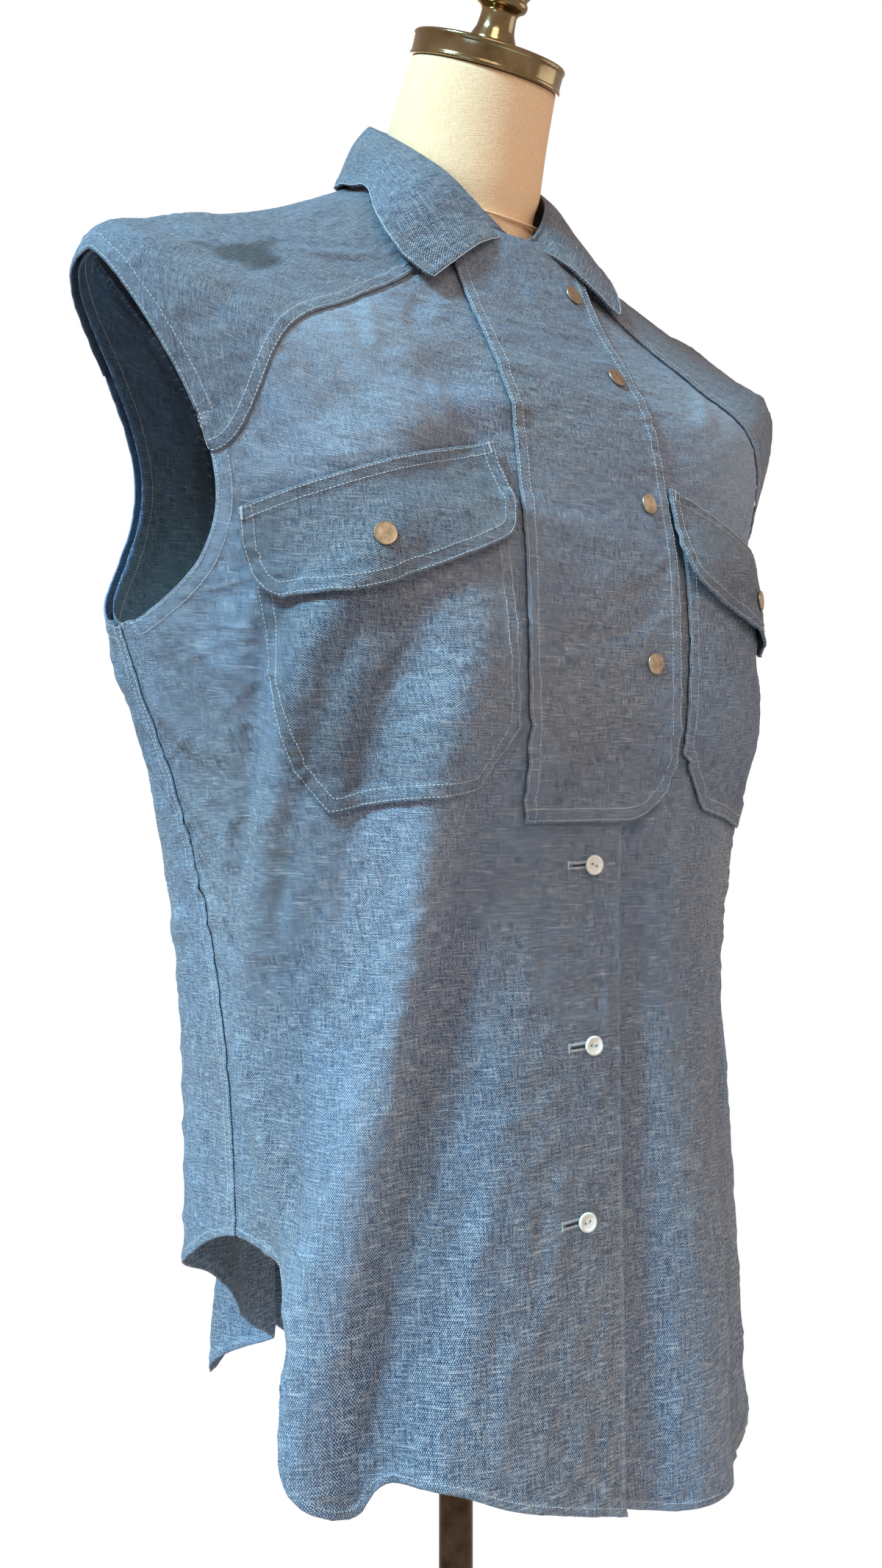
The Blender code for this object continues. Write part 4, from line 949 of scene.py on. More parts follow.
@cache
def metal(name):
    """Aged metal: two tones in soft patches, with a roughness that changes with them."""
    dark, bright, dark_roughness, bright_roughness, scale = METALS[name]
    f = Finish(name)
    place = f.position()
    patina, specks = f.noise(place, scale, 4.0, 0.6), f.noise(place, scale * 14)
    colour = f.mixed(f.ranged(patina, 0.35, 0.65), dark, bright)
    colour = f.mixed(f.ranged(specks, 0.60, 0.75, 0.0, 0.35), colour, dark)
    roughness = f.ranged(patina, 0.3, 0.7, dark_roughness, bright_roughness)
    return f.done(colour, roughness, Normal=f.relief(specks, 0.00012, 0.35), Metallic=1.0)


def finish_of(slot):
    return metal(slot) if slot in METALS else {"chambray": chambray, "canvas": canvas, "ivory": ivory}[slot]()


# ---------------------------------------------------------------- the shirt's panels

LAP = 0.0070  # width of a lapped seam
LAP_ROWS = (0.0014, LAP - 0.0004)  # distances of the stitch rows from a lapped seam's edge
HEM_TURN, HEM_ROWS = 0.0050, (0.0045,)
ARM_TURN, ARM_ROWS = 0.0088, (0.0016, 0.0088)
NECK_ROWS = (0.0016, 0.0070)
PATCH_TURN, PATCH_ROWS = 0.0085, (0.0015, 0.0078)  # round the overlay, the pockets and the flaps
FREE_SIDES = ("left", "bottom", "right")
STEP, COLUMN_STEP = 0.0032, 0.0036  # between the rows and the columns of a body panel
OUTLINE_SCALE = (0.52, 0.13)  # how much u and s count for along an outline
UNDER_BACK = 0.008  # how far, in u, a front goes on under the back
UNDER_YOKE_U, UNDER_YOKE_S = 0.006, 0.035  # and under the yoke
TUCKED = 0.0030  # how much lower the left front lies under the right one


def rising(shares, start, end):
    """A straight line of points from a start to an end."""
    return blend(np.array(start), np.array(end), shares[:, None])


def joined(*parts):
    """Chains end to end, the shared points once."""
    return np.concatenate([parts[0]] + [part[1:] for part in parts[1:]])


def at_x(x, s):
    """The line of points of the rings s at x on the front."""
    return np.stack((u_at(x, s), s), -1)


def chained(points, shares):
    """A line through points, at shares of its length; the corners stay sharp."""
    points = np.array(points, float)
    along = run_along(points * OUTLINE_SCALE)
    return sampled(points, along, shares * along[-1])


def softened(points, times=2, cut=0.25):
    """The same line with its corners cut, so that they turn gently."""
    points = np.array(points, float)
    for _ in range(times):
        low, high = blend(points[:-1], points[1:], cut), blend(points[:-1], points[1:], 1 - cut)
        points = np.concatenate((points[:1], np.stack((low, high), 1).reshape(-1, 2)[1:-1], points[-1:]))
    return points


def body_edge(side, turn_end, below, by_arm):
    """Up the side seam from the hem and on along the armhole to a yoke seam."""
    seam = rising(below, (side * 0.5, VENT_S), (side * 0.5, UNDERARM))
    return joined(seam, armhole(side, blend(0.0 if turn_end < 0.5 else 1.0, turn_end, by_arm)))


def front(name, side, edge_x, hem, tucked, flat, area):
    """A front from the side seam to its free edge at edge_x; a tucked one goes in under the other."""
    below, by_arm = spaced(0.50, STEP, start=True), np.linspace(0, 1, 46)
    by_seam, end = np.linspace(0, 1, 70), np.linspace(0, 1, 8)
    seam = front_yoke_seam(side, SEAM_TOP * by_seam)
    short_end = rising(end, seam[-1], (side * YOKE_NECK_U, NECKLINE))
    outer = joined(body_edge(side, YOKE_FRONT_TURN, below, by_arm), seam, short_end)
    arm = slice(len(below) - 1, len(below) + len(by_arm) - 1)
    # it goes on a little way under the back and under the yoke
    under = np.zeros_like(outer)
    under[:len(below), 0] = side * UNDER_BACK * smooth((UNDERARM - outer[:len(below), 1]) / 0.3)
    further = smooth(np.arange(len(outer) - arm.stop + 1) / 7)
    under[arm.stop - 1:] = further[:, None] * (side * UNDER_YOKE_U, UNDER_YOKE_S)
    outer = outer + under
    outer[:, 1] = np.minimum(outer[:, 1], NECKLINE)
    edge_u = float(u_at(edge_x(0.15), 0.15))
    edge_s = float(np.interp(side * edge_u, *np.array(hem)[::-1].T))
    hem = np.array(hem) * (side, 1)
    hem[0, 0] = outer[0, 0]
    hem = np.concatenate((hem[(hem[:, 0] - edge_u) * side > 0.02], [(edge_u, edge_s)]))
    across = spaced(0.33, COLUMN_STEP, start=True, end=True)
    bottom = chained(softened(hem), across)
    s = joined(blend(edge_s, UNDERARM, below), blend(UNDERARM, seam[0, 1], by_arm))
    s = np.concatenate((s, outer[len(s):, 1]))
    inner = at_x(edge_x(s), s)
    outer[0], inner[0] = bottom[0], bottom[-1]
    climb = joined(15 * below, 15 + 8 * by_arm, 23 + 7 * by_seam, 30 + end) / 31
    uv = patch(bottom, rising(across, outer[-1], inner[-1]), outer, inner, across, climb)
    if side > 0:  # keep rows running with rising u
        uv = uv[:, ::-1]
    x = bare(uv[..., 0], uv[..., 1])[..., 0]
    panel = cloth_of(name, uv, -TUCKED * tucked * smooth((0.052 - x) / 0.022), shift=(0.31 * side, 0.17))
    arm_side, edge_side = ("left", "right") if side < 0 else ("right", "left")
    panel.sink(arm_side, 0.0066, slice(arm.stop, None))
    panel.sink(arm_side, 0.0060, slice(0, len(below) - 4))
    panel.turned_edge("bottom", HEM_TURN, 0.0006)
    panel.turned_edge(arm_side, ARM_TURN, 0.0005, arm)
    if not tucked:
        panel.turned_edge(edge_side, 0.0022, 0.0002)
    # its inner face is painted the blue of shade, above the vent
    panel.inner_shade_blue = inner_shade_above_vents(uv[..., 1])
    panel.sew(arm_side, ARM_ROWS, arm)
    panel.sew("bottom", HEM_ROWS)
    panel.sew("top", NECK_ROWS, clear=arm_side)
    panel.finished(name.removeprefix("shirt_"), flat, area)
    return panel


def back():
    below, by_arm = spaced(0.50, STEP, start=True), np.linspace(0, 1, 56)
    across = spaced(0.50, COLUMN_STEP, start=True, end=True)
    across = across[(across < 0.565) | (across > 0.612)]
    across = np.unique(np.concatenate((across, np.linspace(0.565, 0.612, 34))))  # closer at the flute
    left = body_edge(1, YOKE_BACK_TURN, below, by_arm)
    right = body_edge(-1, YOKE_BACK_TURN, below, by_arm) + (2, 0)
    top = back_yoke_seam(across)
    top[:, 1] += 0.040 * smooth(np.minimum(across, 1 - across) / 0.04)  # it goes on under the yoke
    bottom = np.stack((0.5 + across, back_hem(0.5 + across)), -1)
    uv = patch(bottom, top, left, right, across, joined(15 * below, 15 + 8 * by_arm) / 23)
    panel = cloth_of("shirt_back", uv, shift=(0.9, 0.4))
    # the grain follows the cloth's own width, in and out of the flute
    width = np.linalg.norm(np.diff(panel.points, axis=1), axis=-1)[:, ::-1]
    panel.grain[:, ::-1, 0] = 0.9 - np.cumsum(np.pad(width, ((0, 0), (1, 0))), 1)
    panel.sink("top", 0.0062)
    seam, arm = slice(0, len(below)), slice(len(below) - 1, None)
    for side in ("left", "right"):
        panel.turned_edge(side, LAP, 0.0008, seam)
        panel.turned_edge(side, ARM_TURN, 0.0005, arm)
    panel.turned_edge("bottom", HEM_TURN, 0.0006)
    # its inner face is painted the blue of shade, above the vents
    panel.inner_shade_blue = inner_shade_above_vents(uv[..., 1])
    for side in ("left", "right"):
        panel.sew(side, LAP_ROWS, seam)
        panel.sew(side, ARM_ROWS, arm)
    panel.sew("bottom", HEM_ROWS)
    panel.finished("back", (0.66, 0.70), 0.33)


def yoke():
    """Over both shoulders; its bottom side is the two front seams, the two armholes and the back seam."""
    by_seam, by_arm, by_back = np.linspace(0, 1, 66), np.linspace(0, 1, 62), np.linspace(0, 1, 124)
    over = armhole(1, blend(YOKE_FRONT_TURN, YOKE_BACK_TURN, by_arm))
    half = joined(front_yoke_seam(1, SEAM_TOP * (1 - by_seam)), over)
    bottom = joined(half, back_yoke_seam(by_back), half[::-1] * (-1, 1) + (2, 0))
    across, climb = np.linspace(0, 1, len(bottom)), spaced(0.15, STEP, start=True)
    top = rising(across, (YOKE_NECK_U, NECKLINE), (2 - YOKE_NECK_U, NECKLINE))
    left, right = rising(climb, bottom[0], top[0]), rising(climb, bottom[-1], top[-1])
    uv = patch(bottom, top, left, right, across, climb)
    panel = cloth_of("shirt_yoke", uv, 0.0003, math.radians(90), (1.4, 0.1))
    panel.turned_edge("bottom", LAP, 0.0006)
    # a dark ragged patch on the wearer's right shoulder, and the rest of the yoke a little darker
    u, s = uv[..., 0], uv[..., 1]
    spot = np.hypot((u - 1.672) / 0.042, (s - 6.98) / 0.50)
    ragged = 0.22 * np.sin(70 * u + 3 * s) + 0.16 * np.sin(9 * s - 40 * u) + 0.10 * np.sin(170 * u)
    panel.painted_shade_and_darkening = np.maximum(0.52, 1.75 * smooth((1.25 + ragged - spot) / 0.9))
    panel.wear_and_highlight = 0.4 * panel.wear_and_highlight
    # its inner face is painted the blue of shade
    panel.inner_shade_blue = INNER_SHADE_SHARE
    ends = np.cumsum([len(shares) - 1 for shares in (by_seam, by_arm, by_back, by_arm, by_seam)])
    parts = [slice(start, end + 1) for start, end in zip((0, *ends), ends)]
    for part in parts[::2]:
        panel.sew("bottom", LAP_ROWS, part)
    for part in parts[1::2]:
        panel.sew("bottom", ARM_ROWS, part)
    panel.sew("top", NECK_ROWS)
    panel.finished("yoke", (0.62, 0.34), 0.13)


# ---------------------------------------------------------------- pieces on the panels

OVERLAY_RIGHT_X, OVERLAY_LEFT_X = -0.058, 0.063  # the overlay's sewn and free edges
OVERLAY_TOP_X = 0.050  # its free edge at the neckline
OVERLAY_BOTTOM, OVERLAY_TOP = 2.93, 8.92
OVERLAY_NECK_X = -0.032  # its sewn edge at the neckline
OVERLAY_CORNER = 0.044  # radius of its free lower corner
CORNER_ROWS = 10  # the grid's rows beside one half of that corner, and its columns below the other
CORNER_CLIMB, CORNER_ACROSS = 0.045, 0.86  # the shares of the grid where the two halves end and begin
LEFT_DROP = 0.13  # how much lower, in s, the left pocket hangs


def overlay():
    """A bib panel from the neckline to under the bust, with one round corner."""
    angle = np.radians(np.linspace(0, 90, 2 * CORNER_ROWS + 1))
    round_x = OVERLAY_LEFT_X - OVERLAY_CORNER * (1 - np.sin(angle))
    round_s = OVERLAY_BOTTOM + OVERLAY_CORNER * (1 - np.cos(angle)) / 0.090
    straight, upright = spaced(0.085, 0.0034, start=True), spaced(0.50, STEP, end=True)
    low, high = slice(0, CORNER_ROWS + 1), slice(CORNER_ROWS, None)
    bottom_x = joined(blend(OVERLAY_RIGHT_X, round_x[0], straight), round_x[low])
    bottom_s = joined(np.full(len(straight), OVERLAY_BOTTOM), round_s[low])
    side_s = blend(round_s[-1], OVERLAY_TOP, upright)
    side_x = blend(OVERLAY_LEFT_X, OVERLAY_TOP_X, smooth((side_s - 5.5) / 3.5))
    climb = joined(np.linspace(0, CORNER_CLIMB, CORNER_ROWS + 1), blend(CORNER_CLIMB, 1.0, upright))
    across = joined(straight * CORNER_ACROSS, np.linspace(CORNER_ACROSS, 1.0, CORNER_ROWS + 1))
    left_s = blend(OVERLAY_BOTTOM, OVERLAY_TOP, climb)
    left_x = blend(OVERLAY_RIGHT_X, OVERLAY_NECK_X, smooth((left_s - 8.40) / 0.6))
    left = at_x(left_x - 0.005 * bump((left_s - 4.3) / 1.3), left_s)
    right = at_x(joined(round_x[high], side_x), joined(round_s[high], side_s))
    top = rising(across, left[-1], right[-1])
    uv = patch(at_x(bottom_x, bottom_s), top, left, right, across, climb)
    s = uv[..., 1]
    x = bare(uv[..., 0], s)[..., 0]
    out = 0.0022 + 0.0010 * smooth((x + 0.045) / 0.07) + 0.0004 * smooth(s - 7.5)
    # short folds where it's gathered at its sewn lower corner
    gather = bump((x + 0.030) / 0.030) * bump((s - 3.05) / 0.55)
    out = out + 0.0010 * gather * np.sin(2 * np.pi * (x + 0.004 * s) / 0.0125)
    panel = cloth_of("shirt_overlay", uv, out, shift=(0.05, 0.63))
    # painted shade: the overlay is painted darker, more so towards the neck
    panel.painted_shade_and_darkening = panel.painted_shade_and_darkening + 0.14 + 0.20 * smooth((s - 4.6) / 2.0)
    for side in FREE_SIDES:
        panel.turned_edge(side, PATCH_TURN, 0.0005)
    panel.sew_round(FREE_SIDES, PATCH_ROWS)
    # at its sewn lower corner the inner row crosses itself
    distance = PATCH_ROWS[1]
    corner = panel.rim(("left", "bottom"), distance)[0]
    corner = corner[np.argmin(np.linalg.norm(corner - panel.points[0, 0], axis=1))]
    for side in ("left", "bottom"):
        points, normals = panel.rim((side,), distance)
        away = np.linalg.norm(points - corner, axis=1)
        near = (away < 0.0085) & (nearest(points, panel.points[:2].reshape(-1, 3))[1] < 0.0082)
        near |= (away < 0.0082) & (nearest(points, panel.points[:, 0])[1] < 0.0080)
        panel.thread.row(points[near], normals[near])
    panel.finished("front_overlay", (0.145, 0.41), 0.051, rests_on=("shirt_front_right",))
    return panel


POCKET_BOTTOM = (  # u, s of a pocket's lower edge, from its outer side
    (0.305, 3.20), (0.278, 2.97), (0.245, 3.01), (0.212, 3.05), (0.179, 3.08), (0.146, 3.12), (0.100, 3.50),
)
POCKET_TOP = ((0.305, 4.60), (0.096, 5.05))
FLAP_BOTTOM = (  # the same for a flap
    (0.312, 4.56), (0.307, 4.36), (0.300, 4.28), (0.290, 4.24), (0.270, 4.22), (0.250, 4.235),
    (0.234, 4.265), (0.200, 4.38), (0.150, 4.56), (0.120, 4.68), (0.104, 4.755), (0.096, 4.82),
    (0.091, 4.91), (0.087, 5.05),
)
FLAP_TOP = ((0.316, 4.79), (0.272, 4.94), (0.234, 5.07), (0.184, 5.24), (0.126, 5.45), (0.086, 5.57))


def breast_patch(name, side, drop, bottom, top, out, across, climb, shift):
    """A patch on a breast between a lower and an upper edge, out of the form by a grid of distances."""
    left, right = rising(climb, bottom[0], top[0]), rising(climb, bottom[-1], top[-1])
    uv = patch(bottom, top, left, right, across, climb) * (side, 1) - (0, drop)
    if side > 0:
        uv, out = uv[:, ::-1], out[:, ::-1]
    panel = cloth_of(name, uv, out, shift=shift)
    for edge in FREE_SIDES:
        panel.turned_edge(edge, PATCH_TURN, 0.0004)
    return panel


def pocket(name, side, drop):
    across, climb = spaced(0.13, 0.0028, True, True), spaced(0.17, 0.0030, True, True)
    p, q = across[None, :], climb[:, None]
    belly = np.sin(np.pi * p) * np.sin(np.pi * (q * 0.8 + 0.1))
    out = 0.0021 + 0.0016 * belly + 0.0005 * np.sin(9 * p + 5 * q) * belly
    bottom, top = chained(POCKET_BOTTOM, across), rising(across, *POCKET_TOP)
    shift = (0.2 + 0.3 * side, 1.1)
    panel = breast_patch("shirt_pocket_" + name, side, drop, bottom, top, out, across, climb, shift)
    # painted shade: the pocket is painted darker, most towards its outer side
    panel.painted_shade_and_darkening = panel.painted_shade_and_darkening + 0.20 + 0.42 * smooth((np.abs(panel.uv[..., 0]) - 0.13) / 0.13)
    panel.sew_round(FREE_SIDES, PATCH_ROWS)
    panel.finished("pocket_" + name, (0.175, 0.175), 0.024, rests_on=(f"shirt_front_{name}",))


def flap(name, side, drop):
    across, climb = spaced(0.15, 0.0026, True, True), spaced(0.075, 0.0026, True, True)
    p, q = across[None, :], climb[:, None]
    out = 0.0046 + (0.0030 if side < 0 else 0.0042) * (1 - q) ** 1.3
    out = out + 0.0008 * np.sin(11 * p + 2) * (1 - q) * q * 2
    if side > 0:  # the left flap is puckered and stands away at its ends
        out = out + 0.0016 * (1 - q) * np.sin(2 * np.pi * (p * 2.6 + 0.3 * q)) * smooth(p / 0.1)
        out = out + 0.002 * (1 - q) * bump(p / 0.3)
    bottom, top = chained(softened(FLAP_BOTTOM), across), chained(softened(FLAP_TOP), across)
    shift = (0.4 + 0.3 * side, 1.5)
    panel = breast_patch("shirt_flap_" + name, side, drop, bottom, top, out, across, climb, shift)
    panel.turned_edge("top", 0.0070, 0.0003)
    # painted shade: the flap is painted darker
    panel.painted_shade_and_darkening = panel.painted_shade_and_darkening + 0.70
    panel.sew_round(FREE_SIDES, PATCH_ROWS)
    panel.sew_round(("top",), (0.0014, 0.0066))
    for column in (3, -4):  # a bar tack at each upper corner
        points, normals = panel.points[:, column], panel.normals[:, column]
        up = unit(points[-1] - points[-5])
        panel.thread.bar(points[-1] - up * 0.0036, up, normals[-3], 0.0062, 0.0013)
    held = dict(thickness=0.0020, rests_on=(f"shirt_front_{name}",))
    panel.finished("pocket_flap_" + name, (0.180, 0.075), 0.0115, **held)
    return panel


FACING_WIDTH = 1.42  # outer edge of a facing, as a multiple of the armhole


def facing(name, side):
    """A band sewn inside the armhole, whipped down by hand along its inner edge."""
    turn, share = np.linspace(0, 1, 180, endpoint=False)[None, :], spaced(0.045, 0.0035, end=True)[:, None]
    near_tip = bump((turn - 0.5) / 0.15)
    drop = blend(0.0040, 0.0024, near_tip) + 0.0058 * smooth(share * 1.1) * (1 - 0.5 * near_tip)
    drop = drop + 0.0007 * share * np.sin(2 * np.pi * 13 * turn + 2 * np.sin(2 * np.pi * 3 * turn))
    uv = armhole(side, turn, blend(1.004, FACING_WIDTH, share))
    if side < 0:
        uv, drop = uv[:, ::-1], drop[:, ::-1]
    panel = cloth_of("shirt_facing_" + name, uv, -0.0004 - drop, shift=(0.7 + 0.4 * side, 1.9), ring=True)
    panel.lift(0.0004 * bump((share - 0.88) / 0.12) + 0 * turn)
    # painted shade inside the armhole: the facing is painted darker and bluer, with no paler wear
    panel.painted_shade_and_darkening = panel.painted_shade_and_darkening + 0.35
    panel.inner_shade_blue = INNER_SHADE_SHARE
    panel.wear_and_highlight = 0.0 * panel.wear_and_highlight
    inner = Cloth("inner", panel.points - panel.normals * 0.0012, -panel.normals, panel.grain, True)
    panel.thread.whip(*inner.row("top", 0.0022), reach=0.0042, spacing=0.0068, slant=0.0022)
    panel.thread.row(*inner.row("bottom", 0.0088))
    if side < 0:
        loose_ends(panel.thread, *inner.row("top", 0.0030))
    panel.finished("armhole_facing_" + name, (0.62, 0.045), 0.026, rests_on=("shirt_yoke", "shirt_back"))


def loose_ends(thread, points, normals):
    """Two ends of thread that stand up from a line and curl to its side."""
    for share in (0.30, 0.52):
        k = int(share * len(points))
        end, out = points[k], normals[k]
        along = unit(points[k + 2] - points[k])
        for angle in np.linspace(0, 2.2, 6):
            start = end
            end = start + out * 0.0004
            end = end + (along * math.cos(angle) + np.cross(out, along) * math.sin(angle)) * 0.0026
            thread.stitch(start, end, out, 0.00036)


# ---------------------------------------------------------------- collar

COLLAR_START = 0.055  # u of the collar's front ends on the neckline
COLLAR_TIP_U = 0.152
TIP_S = (8.12, 7.83)  # left and right
TIP_LIFT = (0.0066, 0.0062)
COLLAR_BACK_S = 8.72  # outer edge over the shoulders and back
ROLL_RADIUS = 0.0555
ROLL_LOW, ROLL_RISE = 1.4555, 0.092
COLLAR_TURN, COLLAR_ROWS = 0.0060, (0.0014, 0.0062)


def collar():
    """From the neckline up the stand, over the roll and down to its outer edge, round the neck."""
    p = spaced(0.50, 0.0030, True, True)
    q = np.concatenate((np.linspace(0, 0.55, 22)[:-1], 0.55 + 0.45 * spaced(0.05, 0.0026, end=True)))
    around, leaf = 2 * p - 1, (p > 0.5).astype(int)
    from_front = 1 - np.abs(around)
    tip = np.maximum(0.0, (0.45 - from_front) / 0.45)
    u = 1 + around * (1 - COLLAR_START)
    sine, cosine = np.sin(np.pi * u), np.cos(np.pi * u)
    outward = np.stack((sine, -cosine, 0 * u), -1)
    seam = bare(u, np.full_like(u, NECKLINE)) + (0, 0, 0.0007)
    level = ROLL_LOW + ROLL_RISE * ((1 - cosine) / 2) ** 0.6 - 0.0105 * smooth((tip - 0.45) / 0.55)
    roll = outward * ROLL_RADIUS + np.stack((0 * u, -0.002 + 0 * u, level), -1)
    edge_s = COLLAR_BACK_S - (COLLAR_BACK_S - np.array(TIP_S)[leaf]) * tip**2.2
    edge_s = edge_s + 0.13 * bump((from_front - 0.48) / 0.36)
    lift = blend(0.0040, np.array(TIP_LIFT)[leaf], np.minimum(1.0, 3 * tip))
    edge = skin(1 + around * (1 - COLLAR_TIP_U), edge_s, lift)[0]
    stand = blend(seam, roll, 0.5) - outward * 0.0006
    fall = blend(roll, edge, 0.42) + outward * 0.0020 + (0, 0, 0.0040)
    lines = np.stack((seam, stand, roll, fall, edge))
    grid = through(lines, q * (len(lines) - 1))
    normals = unit(np.cross(np.gradient(grid, axis=0), np.gradient(grid, axis=1)))
    p, q = p[None, :], q[:, None]
    panel = Cloth("shirt_collar", grid, normals, np.stack((p * 0.5 + 0 * q, q * 0.09 + 0 * p), -1) + 2.4)
    wave = 0.0009 * np.sin(31 * p + 3 * q) + 0.0006 * np.sin(67 * p - 5 * q + 1)
    panel.lift(wave * smooth((q - 0.5) / 0.3))
    panel.turned_edge("top", COLLAR_TURN, 0.0004)
    for side in ("left", "right"):
        panel.turned_edge(side, COLLAR_TURN, 0.0004, slice(int(len(grid) * 0.45), None))
    panel.wear_and_highlight = 0.6 * np.maximum(panel.wear_and_highlight, 0.5 * bump((q - 0.5) / 0.05))
    # the collar is darker all over
    panel.painted_shade_and_darkening = panel.painted_shade_and_darkening + 0.72
    panel.sew_round(("right", "top", "left"), COLLAR_ROWS)
    panel.finished("collar", (0.48, 0.105), 0.039, held="folded", thickness=0.0022, rests_on=("shirt_yoke",))


# ---------------------------------------------------------------- snaps and buttons

def capped(name, loops, low, high):
    """A closed mesh through loops of points, with a middle point at each end."""
    index = numbered(*loops.shape[:2], ring=True)
    first, last = loops[..., 0].size, loops[..., 0].size + 1
    faces = quads(index).tolist()
    faces += [(first, b, a) for a, b in zip(index[0, :-1].tolist(), index[0, 1:].tolist())]
    faces += [(last, a, b) for a, b in zip(index[-1, :-1].tolist(), index[-1, 1:].tolist())]
    return mesh_of(name, np.concatenate((loops.reshape(-1, 3), [low, high])), faces)


def lathe(name, profile, place=Matrix(), segments=64, cuts=2):
    """A solid of revolution about Z from (radius, height) points, its corners cut a few times."""
    points = softened(profile, cuts, 0.22)
    angle = np.linspace(0, 2 * np.pi, segments, endpoint=False)
    radius, height = points[1:-1, :1], points[1:-1, 1:]
    loops = np.stack((radius * np.cos(angle), radius * np.sin(angle), height + 0 * angle), -1)
    mesh = capped(name, loops, (0, 0, points[0, 1]), (0, 0, points[-1, 1]))
    mesh.transform(place)
    return mesh


SNAP_RADIUS, SNAP_HEIGHT = 0.00625, 0.0014
SNAP_PROFILE = (  # shares of the radius and of the height
    (0, 0), (0.95, 0), (1, 0.30), (1, 0.70), (0.97, 0.96), (0.93, 1), (0.89, 0.92), (0.5, 0.93),
    (0.2, 0.94), (0, 0.94),
)
BUTTON_RADIUS, BUTTON_HEIGHT = 0.0057, 0.0026
BUTTON_PROFILE = (
    (0, 0), (0.78, 0), (0.97, 0.25), (1, 0.55), (0.97, 0.86), (0.86, 1), (0.74, 0.94), (0.62, 0.72),
    (0.3, 0.66), (0, 0.66),
)
OVERLAY_SNAPS = ((0.034, 8.30), (0.042, 6.83), (0.043, 5.27), (0.040, 4.00))  # x, s
FLAP_SNAPS = {"right": (-0.200, 4.67), "left": (0.204, 4.54)}  # u, s
BUTTONS = ((-0.007, 2.68), (-0.009, 1.78), (-0.019, 1.10))  # x, s
SEAT_SCALE = np.array((0.52, 0.09))  # metres for one unit of u and of s where the discs sit


def seat(panel, u, s, rise=0.0):
    """The place of a disc on a panel, its axis along the outward direction."""
    k = np.argmin(np.hypot(*np.moveaxis((panel.uv - (u, s)) * SEAT_SCALE, -1, 0)))
    j, i = np.unravel_index(k, panel.uv.shape[:2])
    near = slice(max(j - 2, 0), j + 3), slice(max(i - 2, 0), i + 3)
    normal = Vector(panel.normals[near].reshape(-1, 3).mean(0)).normalized()
    high = np.max((panel.points[near].reshape(-1, 3) - panel.points[j, i]) @ np.array(normal))
    wanted = skin(np.array([u]), np.array([s]))[0][0]
    level = (panel.points[j, i] - wanted) @ np.array(normal)
    point = Vector(wanted) + normal * float(level + high * 0.7 + rise)
    return Matrix.Translation(point) @ normal.to_track_quat("Z", "Y").to_matrix().to_4x4()


def snaps(on_overlay, on_flap):
    profile = np.array(SNAP_PROFILE) * (SNAP_RADIUS, SNAP_HEIGHT)
    for k, (x, s) in enumerate(OVERLAY_SNAPS):
        name, place = f"snap_cap_{k + 1}", seat(on_overlay, float(u_at(x, s)), s)
        add(name, lathe(name, profile, place, 48), "snap_brass", f"overlay_snap_{k + 1}")
    for side, (u, s) in FLAP_SNAPS.items():
        name, place = "snap_cap_flap_" + side, seat(on_flap[side], u, s)
        add(name, lathe(name, profile, place, 48), "snap_brass", "flap_snap_" + side)


BUTTON_LEAN = math.radians(-14)
HOLE_RADIUS, HOLE_ASIDE = 0.0008, 0.0015  # a button's two holes, and how far they are from its middle
BUTTONHOLE = (-0.0165, 0.002)  # from the button towards the wearer's right, and past it
BUTTONHOLE_ASIDE, BUTTONHOLE_STEP = 0.0016, 0.00052


def drilled(made, cutter):
    """Cuts a mesh out of a piece."""
    cutter.materials.append(made.data.materials[0])
    hole = bpy.data.objects.new(cutter.name, cutter)
    bpy.context.scene.collection.objects.link(hole)
    cut = made.modifiers.new("hole", "BOOLEAN")
    cut.operation, cut.solver, cut.object = "DIFFERENCE", "EXACT", hole
    bpy.context.view_layer.update()
    done = bpy.data.meshes.new_from_object(made.evaluated_get(bpy.context.evaluated_depsgraph_get()))
    made.modifiers.clear()
    made.data = done
    bpy.data.objects.remove(hole, do_unlink=True)


def button(panel, number, x, s, sewing):
    """A two-hole button with a raised rim, sewn on with thread."""
    h = BUTTON_HEIGHT
    place = seat(panel, float(u_at(x, s)), s, 0.0005)
    # it leans on its thread, towards the wearer's right
    middle = place.translation.copy()
    lifted = Matrix.Translation(middle + place.col[2].to_3d() * 0.0011)
    place = lifted @ Matrix.Rotation(BUTTON_LEAN, 4, "Z") @ Matrix.Translation(-middle) @ place
    mesh = lathe(f"shell_button_{number}", np.array(BUTTON_PROFILE) * (BUTTON_RADIUS, h), place, 56)
    made = add(mesh.name, mesh, "ivory", f"button_{number}")
    turn = place @ Matrix.Rotation(math.radians(20 * number - 45), 4, "Z")
    for aside in (-HOLE_ASIDE, HOLE_ASIDE):
        bore = ((0, -h), (HOLE_RADIUS, -h), (HOLE_RADIUS, 2 * h), (0, 2 * h))
        drilled(made, lathe("hole", bore, turn @ Matrix.Translation((aside, 0, 0)), 24, 0))
    normal = np.array(turn.col[2][:3])
    for off in (-0.00035, 0.0, 0.00035):
        ends = [np.array(turn @ Vector((aside, off, h * 0.72))) for aside in (-HOLE_ASIDE, HOLE_ASIDE)]
        sewing.stitch(ends[0] - normal * 0.0003, ends[1] - normal * 0.0003, normal, 0.0005)


